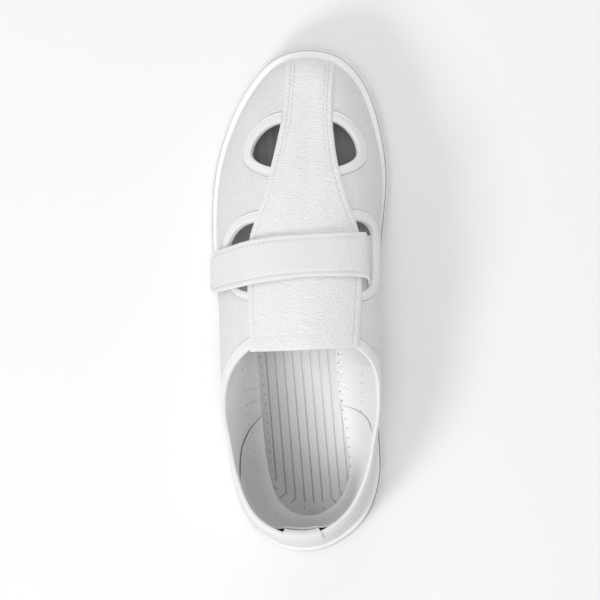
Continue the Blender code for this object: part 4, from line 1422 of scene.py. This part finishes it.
def strap_line(run, inset, side):
    """Points and normals along the strap, in from its front or rear edge."""
    across, out, rear, front, wide = strap_at(run)
    along, aside = STRAP_CORNER[0] - inset, STRAP_CORNER[1] - inset
    bend = inset + aside * (1.0 - rounded_edge(run - inset, along))
    share = bend / wide if side == "front" else 1.0 - bend / wide
    turn = -front + (front - rear) * share
    ground, up = eased_strap(surface(turn, across)[:, None], outward(turn, across)[:, None], across)
    lift = out + STRAP_THICK - STRAP_SEAM_SUNK
    return ground[:, 0] + up[:, 0] * lift[:, None], up[:, 0]


def strap_sewing():
    """One seam round the strap: along its rear edge, round the tab and back along its front edge."""
    run = STRAP_SEAM + (STRAP_SEWN - STRAP_SEAM) * np.linspace(0.0, 1.0, 260) ** 1.6
    sides = zip(strap_line(run, STRAP_SEAM, "rear"), strap_line(run, STRAP_SEAM, "front"))
    row = tuple(np.concatenate((rear[::-1], front)) for rear, front in sides)
    return stitches("strap_sewing", [row], "instep_strap", NEEDLE_HOLE)


# Rows of holes in the lining: turn, and share of the way up from the footbed's edge
SOCK_ROWS = (
    ((-78.0, -0.038), (-74.0, -0.041), (-67.0, -0.053), (-60.0, -0.061), (-50.0, -0.044), (-42.0, -0.036),
     (-30.0, -0.03)),
    ((-76.0, 0.46), (-69.0, 0.42), (-63.5, 0.37), (-55.5, 0.34), (-46.0, 0.34), (-32.5, 0.31), (-20.0, 0.32)),
    ((40.0, 0.02), (46.0, 0.02), (55.0, 0.03), (61.0, 0.07), (64.5, 0.03), (69.0, 0.028), (73.0, 0.02),
     (78.0, 0.045)),
    ((62.5, 0.44), (68.5, 0.51), (76.0, 0.54)),
)
SOCK_HOLE_LIFT = 0.55 * MM


def sock_sewing():
    """Widely spaced needle holes along the footbed's edge and up the lining."""
    rows = []
    for table in SOCK_ROWS:
        places, shares = np.array(table).T
        turn = np.linspace(places[0], places[-1], 160)
        share = np.interp(turn, places, shares)
        lift = np.where(share < counter_top(turn), sum(counter_lift(turn, share)), SOCK_HOLE_LIFT)
        normal = lining_normal(turn, np.maximum(share, 0.02))
        wall = lining(turn, np.maximum(share, 0.0)) + normal * lift[:, None]
        flat = plan(turn, -last("lip", turn) - footbed_inset(turn) + share * LINING_SHARE)
        bed = at_height(flat, footbed_z(*flat.T))
        on_bed = (share < 0.0)[:, None]
        rows.append((np.where(on_bed, bed, wall), np.where(on_bed, (0.0, 0.0, 1.0), normal)))
    return stitches("sock_sewing", rows, "insole", LINING_HOLE, LINING_NEEDLE_SIZE, LINING_PITCH, sewn=False)


for make in (
        outsole_cup, insole_pad, upper_shell, vamp_strip_skin, eye_tapes, collar_tape, heel_pull, sock_lining,
        counter_patch, instep_band, strip_sewing, strap_sewing, sock_sewing):
    make()


# Floor, light and camera

AIR_STRENGTH = 0.57
# Soft boxes: name, place, width in metres and watts
SOFT_BOXES = (
    ("key_box", (-0.8, -0.9, 1.09), 0.5, 9.6),
    ("top_box", (0.0, 0.0, 1.75), 0.7, 5.9),
    ("toe_box", (-0.1, 1.1, 1.2), 1.2, 3.4),
)
FLOOR_SIZE = 6.0
FLOOR_TONE = (0.865, 0.865, 0.865)
CAMERA_PLACE = Vector((0.0651, 0.0, 1.25))
CAMERA_AIM = Vector((0.0, 0.0, 0.01))
CAMERA_UP = Vector((0.0, 1.0, 0.0))
CAMERA_LENS = 134.4


def studio():
    """Pale floor, soft light from the heel's lateral side, from above and from the toe, and the camera."""
    bpy.ops.object.select_all(action='DESELECT')
    bpy.ops.mesh.primitive_plane_add(size=FLOOR_SIZE, location=(0, 0, 0))
    floor = started("floor")
    pale = finish("pale_floor", FLOOR_TONE, 0.7, 0.2)
    wander_gloss(pale, place_on(pale), 30.0, 0.66, 0.74)
    floor.data.materials.append(pale)
    scene = bpy.context.scene
    scene.view_settings.view_transform = 'Standard'
    scene.world = bpy.data.worlds.new("studio_air")
    scene.world.use_nodes = True
    air = scene.world.node_tree.nodes["Background"]
    air.inputs["Color"].default_value = (1.0, 1.0, 1.0, 1.0)
    air.inputs["Strength"].default_value = AIR_STRENGTH
    for name, place, size, power in SOFT_BOXES:
        lamp = bpy.data.lights.new(name, 'AREA')
        lamp.shape = 'DISK'
        lamp.size = size
        lamp.energy = power
        box = bpy.data.objects.new(name, lamp)
        scene.collection.objects.link(box)
        box.location = place
        box.rotation_euler = (Vector() - box.location).to_track_quat('-Z', 'Y').to_euler()
    lens = bpy.data.cameras.new("camera")
    lens.lens = CAMERA_LENS
    lens.sensor_width = 36.0
    lens.clip_end = 20.0
    camera = bpy.data.objects.new("camera", lens)
    scene.collection.objects.link(camera)
    camera.location = CAMERA_PLACE
    look = (CAMERA_AIM - CAMERA_PLACE).normalized()
    right = look.cross(CAMERA_UP).normalized()
    camera.rotation_euler = Matrix((right, right.cross(look), -look)).transposed().to_euler()
    scene.camera = camera


studio()
